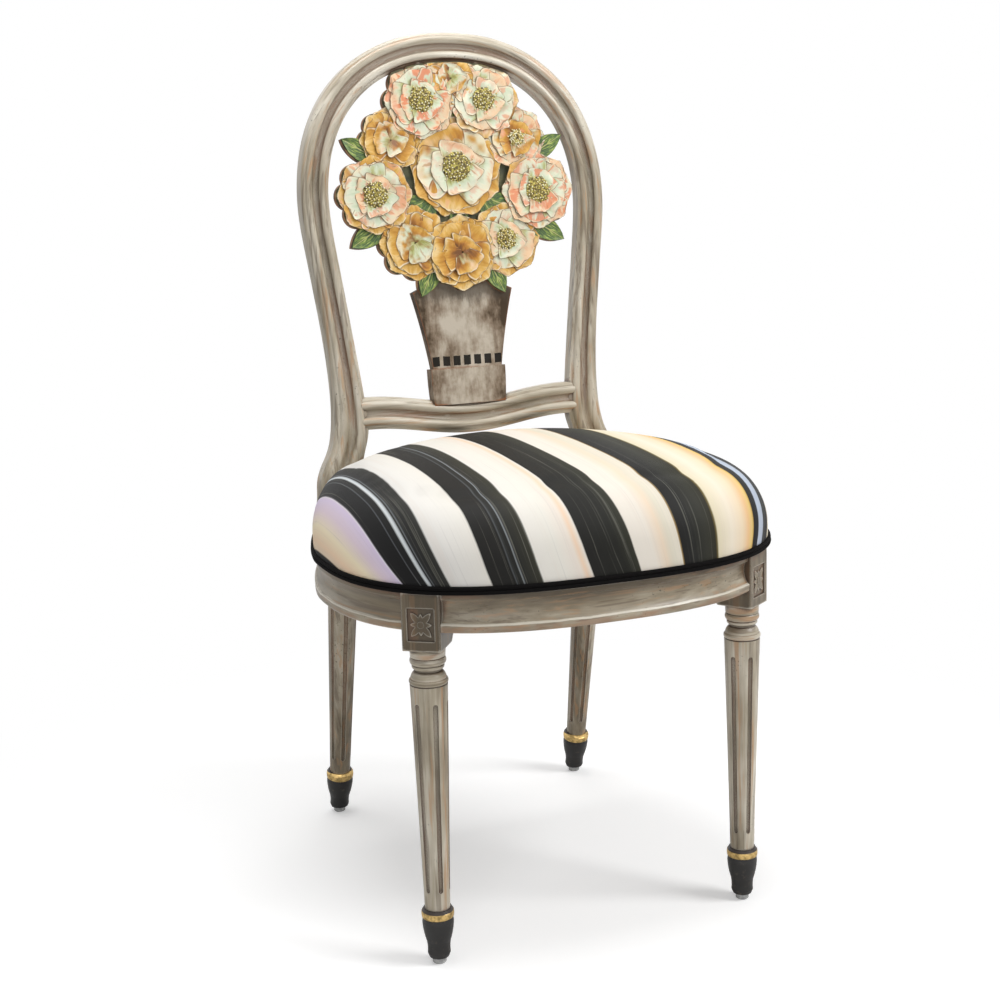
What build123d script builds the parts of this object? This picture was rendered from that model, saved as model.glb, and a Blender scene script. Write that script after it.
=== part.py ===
from build123d import *
from math import atan2, cos, degrees, pi, radians, sin, sqrt, tan
import os

# Side chair with an oval moulded back, a pierced vase splat and turned, fluted legs.
# Millimetres, +Z up. The front of the chair faces -Y, its left side is -X.
# The origin is on the floor, under the middle of the chair's overall box.

# Legs
FRONT_LEG_X = 184.7
FRONT_LEG_Y = -196.0
BLOCK_SIDE = 41.5
BLOCK_BACK = 8.0
BLOCK_TURN = 35.0
REAR_FOOT_X = 170.7
REAR_FOOT_Y = FRONT_LEG_Y + 454.85
REAR_LEAN_X = 0.005
REAR_LEAN_Y = 0.2103
GLIDE_HEIGHT = 7.5
GLIDE_RADIUS = 7.5
RING_BOTTOM = 53.0
RING_TOP = 63.5
SPIGOT_RADIUS = 7.0
SPIGOT_BOTTOM = 36.0
FLUTES = 6
FLUTE_DEPTH = 2.5

# Seat frame
RAIL_BOTTOM = 372.0
SEAT_TOP = 413.5
BLOCK_BOTTOM = 352.0
RAIL_THICKNESS = 24.0
RAIL_BAND_BOTTOM = 405.8
RAIL_BEAD_TOP = 381.2
SEAT_CENTRE_Y = FRONT_LEG_Y + 156.0
SEAT_HALF_WIDTH = 254.5
SEAT_FRONT_REACH = 224.0
SEAT_REAR_REACH = 460.0
COVER_FRONT_POWER = 2.7
RAIL_FRONT_POWER = 2.5
SEAT_REAR_POWER = 1.42
REAR_RAIL_BACK = FRONT_LEG_Y + 379.0
REAR_BLOCK_INNER = 148.0
REAR_BLOCK_OUTER = 203.0
REAR_BLOCK_FRONT = FRONT_LEG_Y + 338.0
TENON_THICKNESS = 9.0
TENON_BOTTOM = 379.0
TENON_TOP = 406.0

# Upholstery
BOARD_THICKNESS = 12.0
BOARD_TOP = SEAT_TOP + BOARD_THICKNESS
CROWN_TOP = 531.5
CROWN_RADIUS = 765.0
CROWN_MIDDLE_Y = FRONT_LEG_Y + 149.0
COVER_PROUD = 0.5
COVER_EDGE_RADIUS = 60.0
WELT_PROUD = 4.5
WELT_HEIGHT = 8.5
STILE_GAP = 4.0
DUST_COVER_THICKNESS = 1.0

# Back
BACK_RAKE = 5.66
BACK_HOLLOW = 0.00015
BACK_REFERENCE_Z = 495.5
BACK_REFERENCE_Y = FRONT_LEG_Y + 352.0
BACK_THICKNESS = 28.0
SPRING_Z = 796.5
ARCH_POWER = 2.25
ARCH_OUTER = (197.0, 205.0)
ARCH_INNER = (163.0, 169.0)
# Height, inner and outer half-width of the stile, from the seat to just under the arch.
STILE_STATIONS = [
    (419.5, 152.0, 202.0),
    (442.5, 149.0, 201.0),
    (465.5, 146.5, 199.0),
    (483.5, 144.5, 193.0),
    (500.5, 140.0, 184.0),
    (520.5, 134.5, 178.0),
    (545.5, 134.5, 175.0),
    (570.5, 137.0, 174.5),
    (605.5, 141.0, 176.0),
    (645.5, 146.0, 179.5),
    (690.5, 151.5, 185.0),
    (740.5, 158.0, 191.5),
]
LOWER_RAIL_MIDDLE_Z = 511.0
LOWER_RAIL_RISE = 14.0
LOWER_RAIL_WIDTH = 39.5
LOWER_RAIL_HALF_WAVE = 130.0
LOWER_RAIL_THICKNESS = 26.0

# Splat: depths are measured back from the front of the frame.
PANEL_FRONT = 1.0
PANEL_BACK = 11.0
VASE_FRONT = 2.5
VASE_BACK = 16.0
PLINTH_FRONT = 0.0
PLINTH_BACK = 18.5
PLINTH_BOTTOM = 547.5
PLINTH_TOP = 592.5
PLINTH_HALF_WIDTH = 49.0
VASE_FOOT_HALF_WIDTH = 45.5
VASE_MIDDLE_HALF_WIDTH = 54.0
VASE_RIM_HALF_WIDTH = 65.5
VASE_RIM_Z = 687.5
LAP_TOP_Z = 785.0
# Rosette flowers of the pierced panel: middle x, middle z, radius, number of petals.
BLOOMS = [
    (0.0, 838.0, 62.0, 9),
    (-41.0, 919.0, 47.0, 8),
    (41.0, 919.0, 47.0, 8),
    (-82.0, 872.0, 40.0, 8),
    (82.0, 872.0, 40.0, 8),
    (-107.0, 807.0, 48.0, 8),
    (106.0, 807.0, 48.0, 8),
    (-60.0, 748.0, 46.0, 8),
    (60.0, 748.0, 46.0, 8),
    (0.0, 734.0, 47.0, 8),
    (0.0, 945.0, 36.0, 7),
]
BUNCH_MIDDLE_Z = 822.0
BUNCH_HALF_WIDTH = 105.0
BUNCH_HALF_HEIGHT = 92.0
# Leaves of the panel: root x, root z, length, width, heading in degrees from +X.
LEAVES = [
    (-90.0, 844.0, 62.0, 26.0, 150.0),
    (90.0, 844.0, 62.0, 26.0, 30.0),
    (-84.0, 780.0, 66.0, 30.0, 212.0),
    (84.0, 780.0, 66.0, 30.0, 328.0),
    (-28.0, 738.0, 62.0, 28.0, 244.0),
    (28.0, 738.0, 62.0, 28.0, 296.0),
]


def back_face_y(x, z):
    """Depth of the front of the back: it leans back, and is hollow from side to side."""
    lean = (z - BACK_REFERENCE_Z) * tan(radians(BACK_RAKE))
    return BACK_REFERENCE_Y + lean - BACK_HOLLOW * x * x


def back_front_direction(x):
    """Direction out of the front of the back."""
    return Vector(-2 * BACK_HOLLOW * x, -1, tan(radians(BACK_RAKE))).normalized()


def superellipse(turn, half_width, height, power):
    """Point of a superellipse, at a turn in degrees from +X."""
    c = cos(radians(turn))
    s = sin(radians(turn))
    x = half_width * abs(c) ** (2 / power)
    return (x if c >= 0 else -x), height * abs(s) ** (2 / power)


def moulding(width, thickness):
    """Section of the back frame: x from the inner edge to the outer one, y to the front."""
    corner = 4.0
    lip = 6.0
    shallow = -2.6
    cove_bottom = -6.5
    line = Line((0, -lip), (0.10 * width, shallow - 1.6))
    line += ThreePointArc((0.10 * width, shallow - 1.6), (0.24 * width, 0), (0.37 * width, shallow))
    line += ThreePointArc((0.37 * width, shallow), (0.50 * width, cove_bottom), (0.63 * width, shallow))
    line += ThreePointArc((0.63 * width, shallow), (0.75 * width, 0), (0.87 * width, shallow))
    line += ThreePointArc((0.87 * width, shallow), (0.96 * width, shallow - 1.6), (width, -lip - 3))
    line += Line((width, -lip - 3), (width, corner - thickness))
    line += Line((width, corner - thickness), (width - corner, -thickness))
    line += Line((width - corner, -thickness), (corner, -thickness))
    line += Line((corner, -thickness), (0, corner - thickness))
    line += Line((0, corner - thickness), (0, -lip))
    return make_face(line)


def back_section(inner, outer, thickness):
    """Moulded section between two (x, z) points of the back, square to its surface."""
    start = Vector(inner[0], back_face_y(*inner), inner[1])
    end = Vector(outer[0], back_face_y(*outer), outer[1])
    across = (end - start).normalized()
    front = back_front_direction((inner[0] + outer[0]) / 2)
    plane = Plane(origin=start, x_dir=across, z_dir=across.cross(front))
    return plane * moulding((end - start).length, thickness)


def make_back_frame():
    """Left stile, arch and right stile in one run, before the joints at the spring are cut."""
    stations = [((-inner, z), (-outer, z)) for z, inner, outer in STILE_STATIONS]
    for step in range(13):
        turn = 180 - 15 * step
        inner_x, inner_z = superellipse(turn, *ARCH_INNER, ARCH_POWER)
        outer_x, outer_z = superellipse(turn, *ARCH_OUTER, ARCH_POWER)
        stations.append(((inner_x, SPRING_Z + inner_z), (outer_x, SPRING_Z + outer_z)))
    stations += [((inner, z), (outer, z)) for z, inner, outer in reversed(STILE_STATIONS)]
    return loft([back_section(inner, outer, BACK_THICKNESS) for inner, outer in stations])


def make_crest_dowels():
    """Dowels across the two joints where the crest meets the stiles."""
    middle_x = (ARCH_OUTER[0] + ARCH_INNER[0]) / 2
    dowels = []
    for side in (-1, 1):
        front = back_front_direction(side * middle_x)
        face = Vector(side * middle_x, back_face_y(middle_x, SPRING_Z), SPRING_Z)
        middle = face - front * (BACK_THICKNESS / 2)
        grain = Vector(0, tan(radians(BACK_RAKE)), 1)
        dowels.append(Plane(origin=middle, z_dir=grain) * Cylinder(4.5, 50))
    return dowels


def make_lower_rail_blank():
    """Serpentine cross rail, running a little into both stiles."""
    reach = STILE_STATIONS[6][1] + 8
    sections = []
    for step in range(13):
        x = reach * (step / 6 - 1)
        wave = min(abs(x), LOWER_RAIL_HALF_WAVE) / LOWER_RAIL_HALF_WAVE
        bottom = LOWER_RAIL_MIDDLE_Z + LOWER_RAIL_RISE * (1 - cos(pi * wave)) / 2
        sections.append(back_section((x, bottom), (x, bottom + LOWER_RAIL_WIDTH), LOWER_RAIL_THICKNESS))
    return loft(sections)


def make_lower_rail_tenon(side):
    """Stub tenon of the cross rail in one stile."""
    x = side * (STILE_STATIONS[6][1] + 6)
    z = LOWER_RAIL_MIDDLE_Z + LOWER_RAIL_RISE + LOWER_RAIL_WIDTH / 2
    y = back_face_y(x, z) + BACK_THICKNESS / 2 + 1
    return Pos(x, y, z) * Rot(-BACK_RAKE, 0, 0) * Box(36, TENON_THICKNESS, 24)


def splat_plane(depth):
    """Flat plane of the splat boards: x across, y up the rake, z to the front."""
    front = back_front_direction(0)
    origin = Vector(0, back_face_y(0, 0), 0) - front * depth
    return Plane(origin=origin, x_dir=(1, 0, 0), z_dir=front)


def up(z):
    """Distance up the rake at a height above the floor."""
    return z / cos(radians(BACK_RAKE))


def splat_board(outline, front, back):
    """Board of the splat, from its outline and the depths of its two faces."""
    return extrude(splat_plane(back) * outline, amount=back - front)


def bloom_outline(x, z, radius, petals):
    """Round-petalled flower, seen from the front."""
    petal_radius = 0.36 * radius
    outline = Pos(x, up(z)) * Circle(0.80 * radius)
    for index in range(petals):
        turn = 360 * index / petals + 90
        offset = radius - petal_radius
        petal_x = x + offset * cos(radians(turn))
        petal_y = up(z) + offset * sin(radians(turn))
        outline += Pos(petal_x, petal_y) * Circle(petal_radius)
    return outline


def leaf_outline(x, z, length, width, heading):
    """Pointed leaf between two arcs."""
    upper = ThreePointArc((0, 0), (0.45 * length, width / 2), (length, 0))
    lower = ThreePointArc((length, 0), (0.45 * length, -width / 2), (0, 0))
    return Pos(x, up(z)) * Rot(0, 0, heading) * make_face(upper + lower)


def arch_opening(grow):
    """Opening inside the arch, seen from the front, a little oversize."""
    points = []
    for step in range(25):
        x, z = superellipse(180 - 7.5 * step, ARCH_INNER[0] + grow, ARCH_INNER[1] + grow, ARCH_POWER)
        points.append((x, up(SPRING_Z + z)))
    curve = Spline(*points)
    foot = up(PLINTH_TOP)
    sides = Polyline(points[-1], (points[-1][0], foot), (points[0][0], foot), points[0])
    return make_face(curve + sides)


def make_flower_panel_blank():
    """Pierced board cut to a bunch of flowers, its top fitted up into the arch."""
    outline = Pos(0, up(BUNCH_MIDDLE_Z)) * Ellipse(BUNCH_HALF_WIDTH, BUNCH_HALF_HEIGHT)
    for bloom in BLOOMS:
        outline += bloom_outline(*bloom)
    for leaf in LEAVES:
        outline += leaf_outline(*leaf)
    return splat_board(outline & arch_opening(0.5), PANEL_FRONT, PANEL_BACK)


def make_vase_blank():
    """Vase board with the tongue that laps behind the flower panel."""
    foot = (VASE_FOOT_HALF_WIDTH, up(PLINTH_TOP))
    middle = (VASE_MIDDLE_HALF_WIDTH, up((PLINTH_TOP + VASE_RIM_Z) / 2))
    rim = (VASE_RIM_HALF_WIDTH, up(VASE_RIM_Z))
    shoulder = (48, up(VASE_RIM_Z + 8))
    tongue = (34, up(LAP_TOP_Z))
    side = ThreePointArc(foot, middle, rim) + Polyline(rim, shoulder, tongue, (0, tongue[1]))
    other = mirror(side, about=Plane.YZ)
    outline = make_face(side + other + Line((-foot[0], foot[1]), foot))
    return splat_board(outline, VASE_FRONT, VASE_BACK)


def make_plinth_blank():
    """Thick plinth under the vase, waisted a little."""
    right = ThreePointArc(
        (PLINTH_HALF_WIDTH - 2, up(PLINTH_BOTTOM)),
        (PLINTH_HALF_WIDTH, up(PLINTH_TOP - 14)),
        (PLINTH_HALF_WIDTH, up(PLINTH_TOP)),
    )
    left = mirror(right, about=Plane.YZ)
    top = Line((-PLINTH_HALF_WIDTH, up(PLINTH_TOP)), (PLINTH_HALF_WIDTH, up(PLINTH_TOP)))
    bottom = Line((2 - PLINTH_HALF_WIDTH, up(PLINTH_BOTTOM)), (PLINTH_HALF_WIDTH - 2, up(PLINTH_BOTTOM)))
    return splat_board(make_face(right + left + top + bottom), PLINTH_FRONT, PLINTH_BACK)


def splat_dowels(radius, half_spacing, low, high, depth):
    """Pair of upright dowels in the middle of the splat."""
    dowels = []
    for side in (-1, 1):
        place = splat_plane(depth) * Pos(side * half_spacing, up((low + high) / 2), 0)
        dowels.append(place * Rot(90, 0, 0) * Cylinder(radius, high - low))
    return dowels


def make_lap_screws():
    """Round-headed screws from behind, through the vase's tongue into the flower panel."""
    screws = []
    for x, z in ((0, 708), (-20, 748), (20, 748)):
        shank_length = VASE_BACK - PANEL_FRONT - 3
        shank = Pos(0, 0, shank_length / 2) * Cylinder(1.6, shank_length)
        head = Pos(0, 0, -0.9) * Cylinder(3.2, 1.8)
        screws.append(splat_plane(VASE_BACK) * Pos(x, up(z), 0) * (shank + head))
    return screws


def rear_axis(side):
    """Frame on a rear leg's axis, its origin on the floor."""
    direction = (-side * REAR_LEAN_X, -REAR_LEAN_Y, 1)
    return Plane(origin=(side * REAR_FOOT_X, REAR_FOOT_Y, 0), x_dir=(1, 0, 0), z_dir=direction)


def front_axis(side):
    """Frame on a front leg's axis, its origin on the floor."""
    return Plane(origin=(side * FRONT_LEG_X, FRONT_LEG_Y, 0))


def flute_cutters(bottom, top, radius_at):
    """Round-ended flutes, evenly spaced round a tapered shaft."""
    low_radius = 2.6
    high_radius = 3.1
    low = Vector(radius_at(bottom) + low_radius - FLUTE_DEPTH, 0, bottom)
    high = Vector(radius_at(top) + high_radius - FLUTE_DEPTH, 0, top)
    length = (high - low).length
    shaft = Cone(low_radius, high_radius, length, align=(Align.CENTER, Align.CENTER, Align.MIN))
    cutter = Plane(origin=low, x_dir=(0, 1, 0), z_dir=high - low) * shaft
    cutter += Pos(low) * Sphere(low_radius) + Pos(high) * Sphere(high_radius)
    return [Rot(0, 0, 360 * (index + 0.5) / FLUTES) * cutter for index in range(FLUTES)]


def spigot():
    """Round spigot that carries the ring and the foot."""
    length = RING_TOP - SPIGOT_BOTTOM
    return Pos(0, 0, RING_TOP - length / 2) * Cylinder(SPIGOT_RADIUS, length)


def make_front_turning():
    """Turned part of a front leg: beads, neck, torus and tapered fluted shaft."""
    shaft_top, shaft_top_radius = 312, 20.0
    shaft_bottom, shaft_bottom_radius = RING_TOP, 13.6
    outline = Polyline((0, BLOCK_BOTTOM), (19.0, BLOCK_BOTTOM), (18.4, 342.2), (17.7, 341.5))
    outline += ThreePointArc((17.7, 341.5), (19.2, 337.9), (17.9, 334.4))
    outline += Line((17.9, 334.4), (16.5, 333.6))
    outline += ThreePointArc((16.5, 333.6), (17.1, 331.2), (15.7, 329.0))
    outline += Polyline((15.7, 329.0), (14.2, 328.4), (14.0, 327.0))
    outline += ThreePointArc((14.0, 327.0), (17.3, 323.6), (19.0, 318.6))
    outline += Line((19.0, 318.6), (19.8, 318.2))
    outline += ThreePointArc((19.8, 318.2), (20.7, 315.8), (19.8, 313.4))
    outline += Polyline((19.8, 313.4), (19.0, 312.9), (19.3, 312.3), (shaft_top_radius, shaft_top))
    outline += Line((shaft_top_radius, shaft_top), (shaft_bottom_radius, shaft_bottom))
    outline += Polyline((shaft_bottom_radius, shaft_bottom), (0, shaft_bottom), (0, BLOCK_BOTTOM))
    turning = revolve(Plane.XZ * make_face(outline), Axis.Z)
    taper = (shaft_top_radius - shaft_bottom_radius) / (shaft_top - shaft_bottom)
    turning -= flute_cutters(86, 291, lambda z: shaft_bottom_radius + taper * (z - shaft_bottom))
    return turning + spigot()


def rosette_petal(turn, length, width):
    """One leaf of the carved rosette, lying on the ground of its sunk panel."""
    outline = leaf_outline(0, 0, length, width, turn)
    return extrude(outline, amount=1.3)


def make_corner_block():
    """Square top block of a front leg, with its sunk panel and carved rosette facing -Y."""
    height = SEAT_TOP - BLOCK_BOTTOM
    half = BLOCK_SIDE / 2
    block = Box(BLOCK_SIDE, BLOCK_SIDE + BLOCK_BACK, height)
    block = Pos(0, BLOCK_BACK / 2, BLOCK_BOTTOM + height / 2) * block
    block = chamfer(block.edges().filter_by(Axis.Z), 1.0)
    inner_edge = block.edges().filter_by(Axis.X).sort_by(Axis.Z)[:2].sort_by(Axis.Y)[-1]
    block = chamfer(inner_edge, 9)
    panel_depth = 1.8
    middle_z = 380.0
    block -= Pos(0, panel_depth / 2 - half, middle_z) * Box(29, panel_depth, 35)
    ground = Plane(origin=(0, panel_depth - half, middle_z), x_dir=(1, 0, 0), z_dir=(0, -1, 0))
    for quarter in range(4):
        block += ground * rosette_petal(50 + 80 * (quarter % 2) + 180 * (quarter // 2), 16.5, 6.4)
        block += ground * rosette_petal(90 * quarter, 11.5, 4.6)
    block += ground * Pos(0, 0, 0.9) * Cylinder(3.7, 1.8)
    return block


def make_front_leg(side):
    """Front leg in one piece: block, turning and spigot."""
    block = Rot(0, 0, side * BLOCK_TURN) * make_corner_block()
    leg = make_front_turning() + block
    return front_axis(side) * leg


def make_rear_leg(side, back_frame):
    """Rear leg in one piece: fluted shaft, seat block and the moulded stile above it."""
    top_height, top_radius, bottom_radius = 387.5, 20.0, 13.2
    outline = Polyline(
        (0, RING_TOP), (bottom_radius, RING_TOP), (top_radius, top_height), (0, top_height), (0, RING_TOP)
    )
    shaft = revolve(Plane.XZ * make_face(outline), Axis.Z)
    taper = (top_radius - bottom_radius) / (top_height - RING_TOP)
    shaft -= flute_cutters(86, 362, lambda z: bottom_radius + taper * (z - RING_TOP))
    shaft = rear_axis(side) * (shaft + spigot())

    block_top = STILE_STATIONS[0][0] + 2
    bottom_depth = 59.0
    top_depth = 33.0
    width = REAR_BLOCK_OUTER - REAR_BLOCK_INNER
    middle_x = side * (REAR_BLOCK_OUTER + REAR_BLOCK_INNER) / 2
    bottom = Pos(middle_x, REAR_BLOCK_FRONT + bottom_depth / 2, RAIL_BOTTOM) * Rectangle(width, bottom_depth)
    top = Pos(middle_x, REAR_BLOCK_FRONT + top_depth / 2, block_top) * Rectangle(width, top_depth)
    block = loft([bottom, top], ruled=True)

    stile_side = Keep.TOP if side > 0 else Keep.BOTTOM
    stile = split(back_frame, bisect_by=Plane.YZ, keep=stile_side)
    stile = split(stile, bisect_by=Plane.XY.offset(SPRING_Z), keep=Keep.BOTTOM)
    return shaft + block + stile


def make_foot(axis):
    """Turned foot with the socket for the leg's spigot, cut level above its glide."""
    outline = Polyline((0, RING_BOTTOM), (16.2, RING_BOTTOM), (17.0, RING_BOTTOM - 5))
    outline += ThreePointArc((17.0, RING_BOTTOM - 5), (15.8, 37), (13.1, 26))
    outline += ThreePointArc((13.1, 26), (12.2, 19), (12.4, 12))
    outline += ThreePointArc((12.4, 12), (11.0, 8.2), (8.4, 3))
    outline += Polyline((8.4, 3), (0, 3), (0, RING_BOTTOM))
    foot = revolve(Plane.XZ * make_face(outline), Axis.Z) - spigot()
    level = Pos(0, 0, GLIDE_HEIGHT / 2 - 20) * Box(1200, 1200, GLIDE_HEIGHT + 40)
    return axis * foot - level


def make_ring(axis):
    """Gilt collar between leg and foot."""
    outline = Polyline((SPIGOT_RADIUS, RING_BOTTOM), (16.5, RING_BOTTOM), (17.3, RING_BOTTOM + 0.8))
    outline += ThreePointArc((17.3, RING_BOTTOM + 0.8), (17.6, RING_BOTTOM + 4), (17.3, RING_TOP - 3.4))
    outline += Polyline((17.3, RING_TOP - 3.4), (16.7, RING_TOP - 2.8), (15.0, RING_TOP))
    outline += Polyline((15.0, RING_TOP), (SPIGOT_RADIUS, RING_TOP), (SPIGOT_RADIUS, RING_BOTTOM))
    return axis * revolve(Plane.XZ * make_face(outline), Axis.Z)


def make_glide(x, y):
    """Round nail-on glide under a foot."""
    outline = Polyline((0, 0), (GLIDE_RADIUS - 1, 0), (GLIDE_RADIUS, 1), (GLIDE_RADIUS, GLIDE_HEIGHT))
    outline += Polyline((GLIDE_RADIUS, GLIDE_HEIGHT), (1.3, GLIDE_HEIGHT), (1.3, 23), (0, 25), (0, 0))
    return Pos(x, y, 0) * revolve(Plane.XZ * make_face(outline), Axis.Z)


def seat_point(bearing, inset, front_power=COVER_FRONT_POWER):
    """Point of the seat's plan at a bearing in degrees from +X, moved in by an inset."""

    def on_edge(angle):
        c = cos(radians(angle))
        s = sin(radians(angle))
        reach, power = (SEAT_FRONT_REACH, front_power) if s < 0 else (SEAT_REAR_REACH, SEAT_REAR_POWER)
        radius = (abs(c / SEAT_HALF_WIDTH) ** power + abs(s / reach) ** power) ** (-1 / power)
        return Vector(radius * c, SEAT_CENTRE_Y + radius * s, 0)

    edge = on_edge(bearing)
    along = (on_edge(bearing + 0.5) - on_edge(bearing - 0.5)).normalized()
    outward = Vector(along.Y, -along.X, 0)
    return edge - outward * inset, outward


def seat_plan(inset, back_y):
    """Closed plan of the seat: one curve round the sides and front, straight across the back."""
    corner = degrees(atan2(back_y - SEAT_CENTRE_Y, 184.0))
    count = 24
    span = 180 + 2 * corner
    points = [seat_point(corner - span * step / count, inset)[0] for step in range(count + 1)]
    points[0].Y = back_y
    points[-1].Y = back_y
    curve = Spline(*points)
    return make_face(curve + Line(curve @ 1, curve @ 0))


def rail_section(bearing):
    """Section of a seat rail: a flat band, a hollow under it, and a small fascia at the foot."""
    point, outward = seat_point(bearing, 0, RAIL_FRONT_POWER)
    plane = Plane(origin=point, x_dir=outward, z_dir=outward.cross(Vector(0, 0, 1)))
    line = Polyline((-RAIL_THICKNESS, SEAT_TOP), (-RAIL_THICKNESS, RAIL_BOTTOM), (0.6, RAIL_BOTTOM))
    line += Polyline((0.6, RAIL_BOTTOM), (1.8, RAIL_BOTTOM + 1.5), (2.0, RAIL_BEAD_TOP - 1.2))
    line += Polyline((2.0, RAIL_BEAD_TOP - 1.2), (1.2, RAIL_BEAD_TOP), (0.2, RAIL_BEAD_TOP))
    line += ThreePointArc((0.2, RAIL_BEAD_TOP), (-4.4, RAIL_BEAD_TOP + 12), (-2.9, RAIL_BAND_BOTTOM - 1))
    line += Polyline((-2.9, RAIL_BAND_BOTTOM - 1), (-0.5, RAIL_BAND_BOTTOM), (0, RAIL_BAND_BOTTOM + 0.8))
    line += Polyline((0, RAIL_BAND_BOTTOM + 0.8), (0, SEAT_TOP), (-RAIL_THICKNESS, SEAT_TOP))
    return plane * make_face(line)


def largest(shape):
    """The biggest solid of a cut shape."""
    return Part() + sorted(shape.solids(), key=lambda solid: solid.volume)[-1]


def curved_rail(first, last, count):
    """Blank of a curved seat rail between two bearings."""
    step = (last - first) / (count - 1)
    return loft([rail_section(first + step * index) for index in range(count)])


def block_tenon(side, across, along):
    """Tenon in a front leg's block: offsets out from the leg's axis and along the rail."""
    middle_z = (TENON_BOTTOM + TENON_TOP) / 2
    box = Pos(along, -across, middle_z) * Box(26, TENON_THICKNESS, TENON_TOP - TENON_BOTTOM)
    return front_axis(side) * Rot(0, 0, side * BLOCK_TURN) * box


def side_rail_rear_tenon(side):
    """Tenon of a side rail in the front of the rear leg's block."""
    middle_z = (TENON_BOTTOM + TENON_TOP) / 2
    tenon = Box(TENON_THICKNESS, 24, TENON_TOP - TENON_BOTTOM)
    return Pos(side * 186, REAR_BLOCK_FRONT + 6, middle_z) * tenon


def rear_rail_tenon(side):
    """Tenon of the rear rail in the inner side of the rear leg's block."""
    middle_y = REAR_RAIL_BACK - RAIL_THICKNESS / 2
    middle_z = (TENON_BOTTOM + TENON_TOP) / 2
    return Pos(side * 160, middle_y, middle_z) * Box(28, TENON_THICKNESS, TENON_TOP - TENON_BOTTOM)


def make_rear_rail():
    """Straight rail between the two rear blocks."""
    height = SEAT_TOP - RAIL_BOTTOM
    rail = Pos(0, REAR_RAIL_BACK - RAIL_THICKNESS / 2, RAIL_BOTTOM + height / 2) * Box(
        2 * REAR_BLOCK_INNER, RAIL_THICKNESS, height
    )
    rail = chamfer(rail.edges().filter_by(Axis.X).sort_by(Axis.Z)[:2], 2)
    return rail + rear_rail_tenon(-1) + rear_rail_tenon(1)


CORNERS = {
    "front_left": (-160.0, FRONT_LEG_Y + 36.0, -35.0),
    "front_right": (160.0, FRONT_LEG_Y + 36.0, 35.0),
    "rear_left": (-127.0, FRONT_LEG_Y + 316.0, 40.0),
    "rear_right": (127.0, FRONT_LEG_Y + 316.0, -40.0),
}
CORNER_BLOCK_WIDTH = 40.0
CORNER_BLOCK_BOTTOM = 385.5
CORNER_BLOCK_TOP = SEAT_TOP - DUST_COVER_THICKNESS


def make_corner_brace(x, y, turn, inside, cutters):
    """Brace across an inner corner of the seat frame, fitted against the rails and leg."""
    height = CORNER_BLOCK_TOP - CORNER_BLOCK_BOTTOM
    bar = Pos(x, y, CORNER_BLOCK_BOTTOM + height / 2) * Rot(0, 0, turn)
    brace = (bar * Box(260, CORNER_BLOCK_WIDTH, height)) & inside
    for cutter in cutters:
        brace -= cutter
    return largest(brace)


def seat_screw(x, y):
    """Screw up through a corner brace into the seat board."""
    shank_length = BOARD_TOP - 3 - CORNER_BLOCK_BOTTOM
    shank = Pos(x, y, CORNER_BLOCK_BOTTOM + shank_length / 2) * Cylinder(2.2, shank_length)
    head = Pos(x, y, CORNER_BLOCK_BOTTOM - 1.2) * Cylinder(4.4, 2.4)
    return shank + head


def stile_notches(clearance):
    """Boxes that clear the two rear legs out of the seat."""
    width = 140.0
    depth = 120.0
    boxes = []
    for side in (-1, 1):
        x = side * (REAR_BLOCK_INNER - clearance + width / 2)
        y = REAR_BLOCK_FRONT - clearance + depth / 2
        boxes.append(Pos(x, y, SEAT_TOP + 50) * Box(width, depth, 220))
    return boxes


def seat_slab(inset, bottom, top):
    """Level slab with the seat's plan."""
    plan = seat_plan(inset, REAR_RAIL_BACK - inset)
    return extrude(Pos(0, 0, bottom) * plan, amount=top - bottom)


def make_seat_board():
    """Board that the upholstery is built on, notched round the stiles."""
    return seat_slab(0.5, SEAT_TOP, BOARD_TOP) - stile_notches(STILE_GAP + 4)


def crowned(slab, below, edge_radius):
    """Slab cut to the crown, or a little below it, with its top edge rounded."""
    crown = Pos(0, CROWN_MIDDLE_Y, CROWN_TOP - CROWN_RADIUS) * Sphere(CROWN_RADIUS - below)
    slab &= crown
    return fillet(slab.faces().sort_by(Axis.Z)[-1].edges(), edge_radius)


def make_seat_foam():
    """Foam block, crowned like the cover."""
    foam = crowned(seat_slab(3, BOARD_TOP, CROWN_TOP), 8, COVER_EDGE_RADIUS - 12)
    return foam - stile_notches(STILE_GAP + 4)


def make_seat_cover(board, foam):
    """Padded striped cover: crowned on top, wrapped down over the board's edge."""
    blank = crowned(seat_slab(-COVER_PROUD, SEAT_TOP, CROWN_TOP + 10), 0, COVER_EDGE_RADIUS)
    return blank - stile_notches(STILE_GAP) - board - foam


def make_seat_welt():
    """Black welt round the foot of the cover, in two runs that stop at the stiles."""
    outer = seat_slab(-WELT_PROUD, SEAT_TOP, SEAT_TOP + WELT_HEIGHT)
    outer = chamfer(outer.edges().filter_by(Plane.XY), 1.2)
    inner = seat_slab(-COVER_PROUD, SEAT_TOP - 5, SEAT_TOP + WELT_HEIGHT + 5)
    return outer - inner - stile_notches(STILE_GAP)


def make_dust_cover():
    """Thin black cloth on the underside of the board, inside the rails."""
    plan = seat_plan(RAIL_THICKNESS + 2, REAR_RAIL_BACK - RAIL_THICKNESS - 2)
    sheet = extrude(Pos(0, 0, SEAT_TOP - DUST_COVER_THICKNESS) * plan, amount=DUST_COVER_THICKNESS)
    return sheet


def save(name, *solids):
    """Write one node, of one solid or of a group of like ones."""
    shape = solids[0] if len(solids) == 1 else Compound(children=list(solids))
    export_step(shape, f"parts/{name}.step")


os.makedirs("parts", exist_ok=True)
SIDES = {"left": -1, "right": 1}

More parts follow.
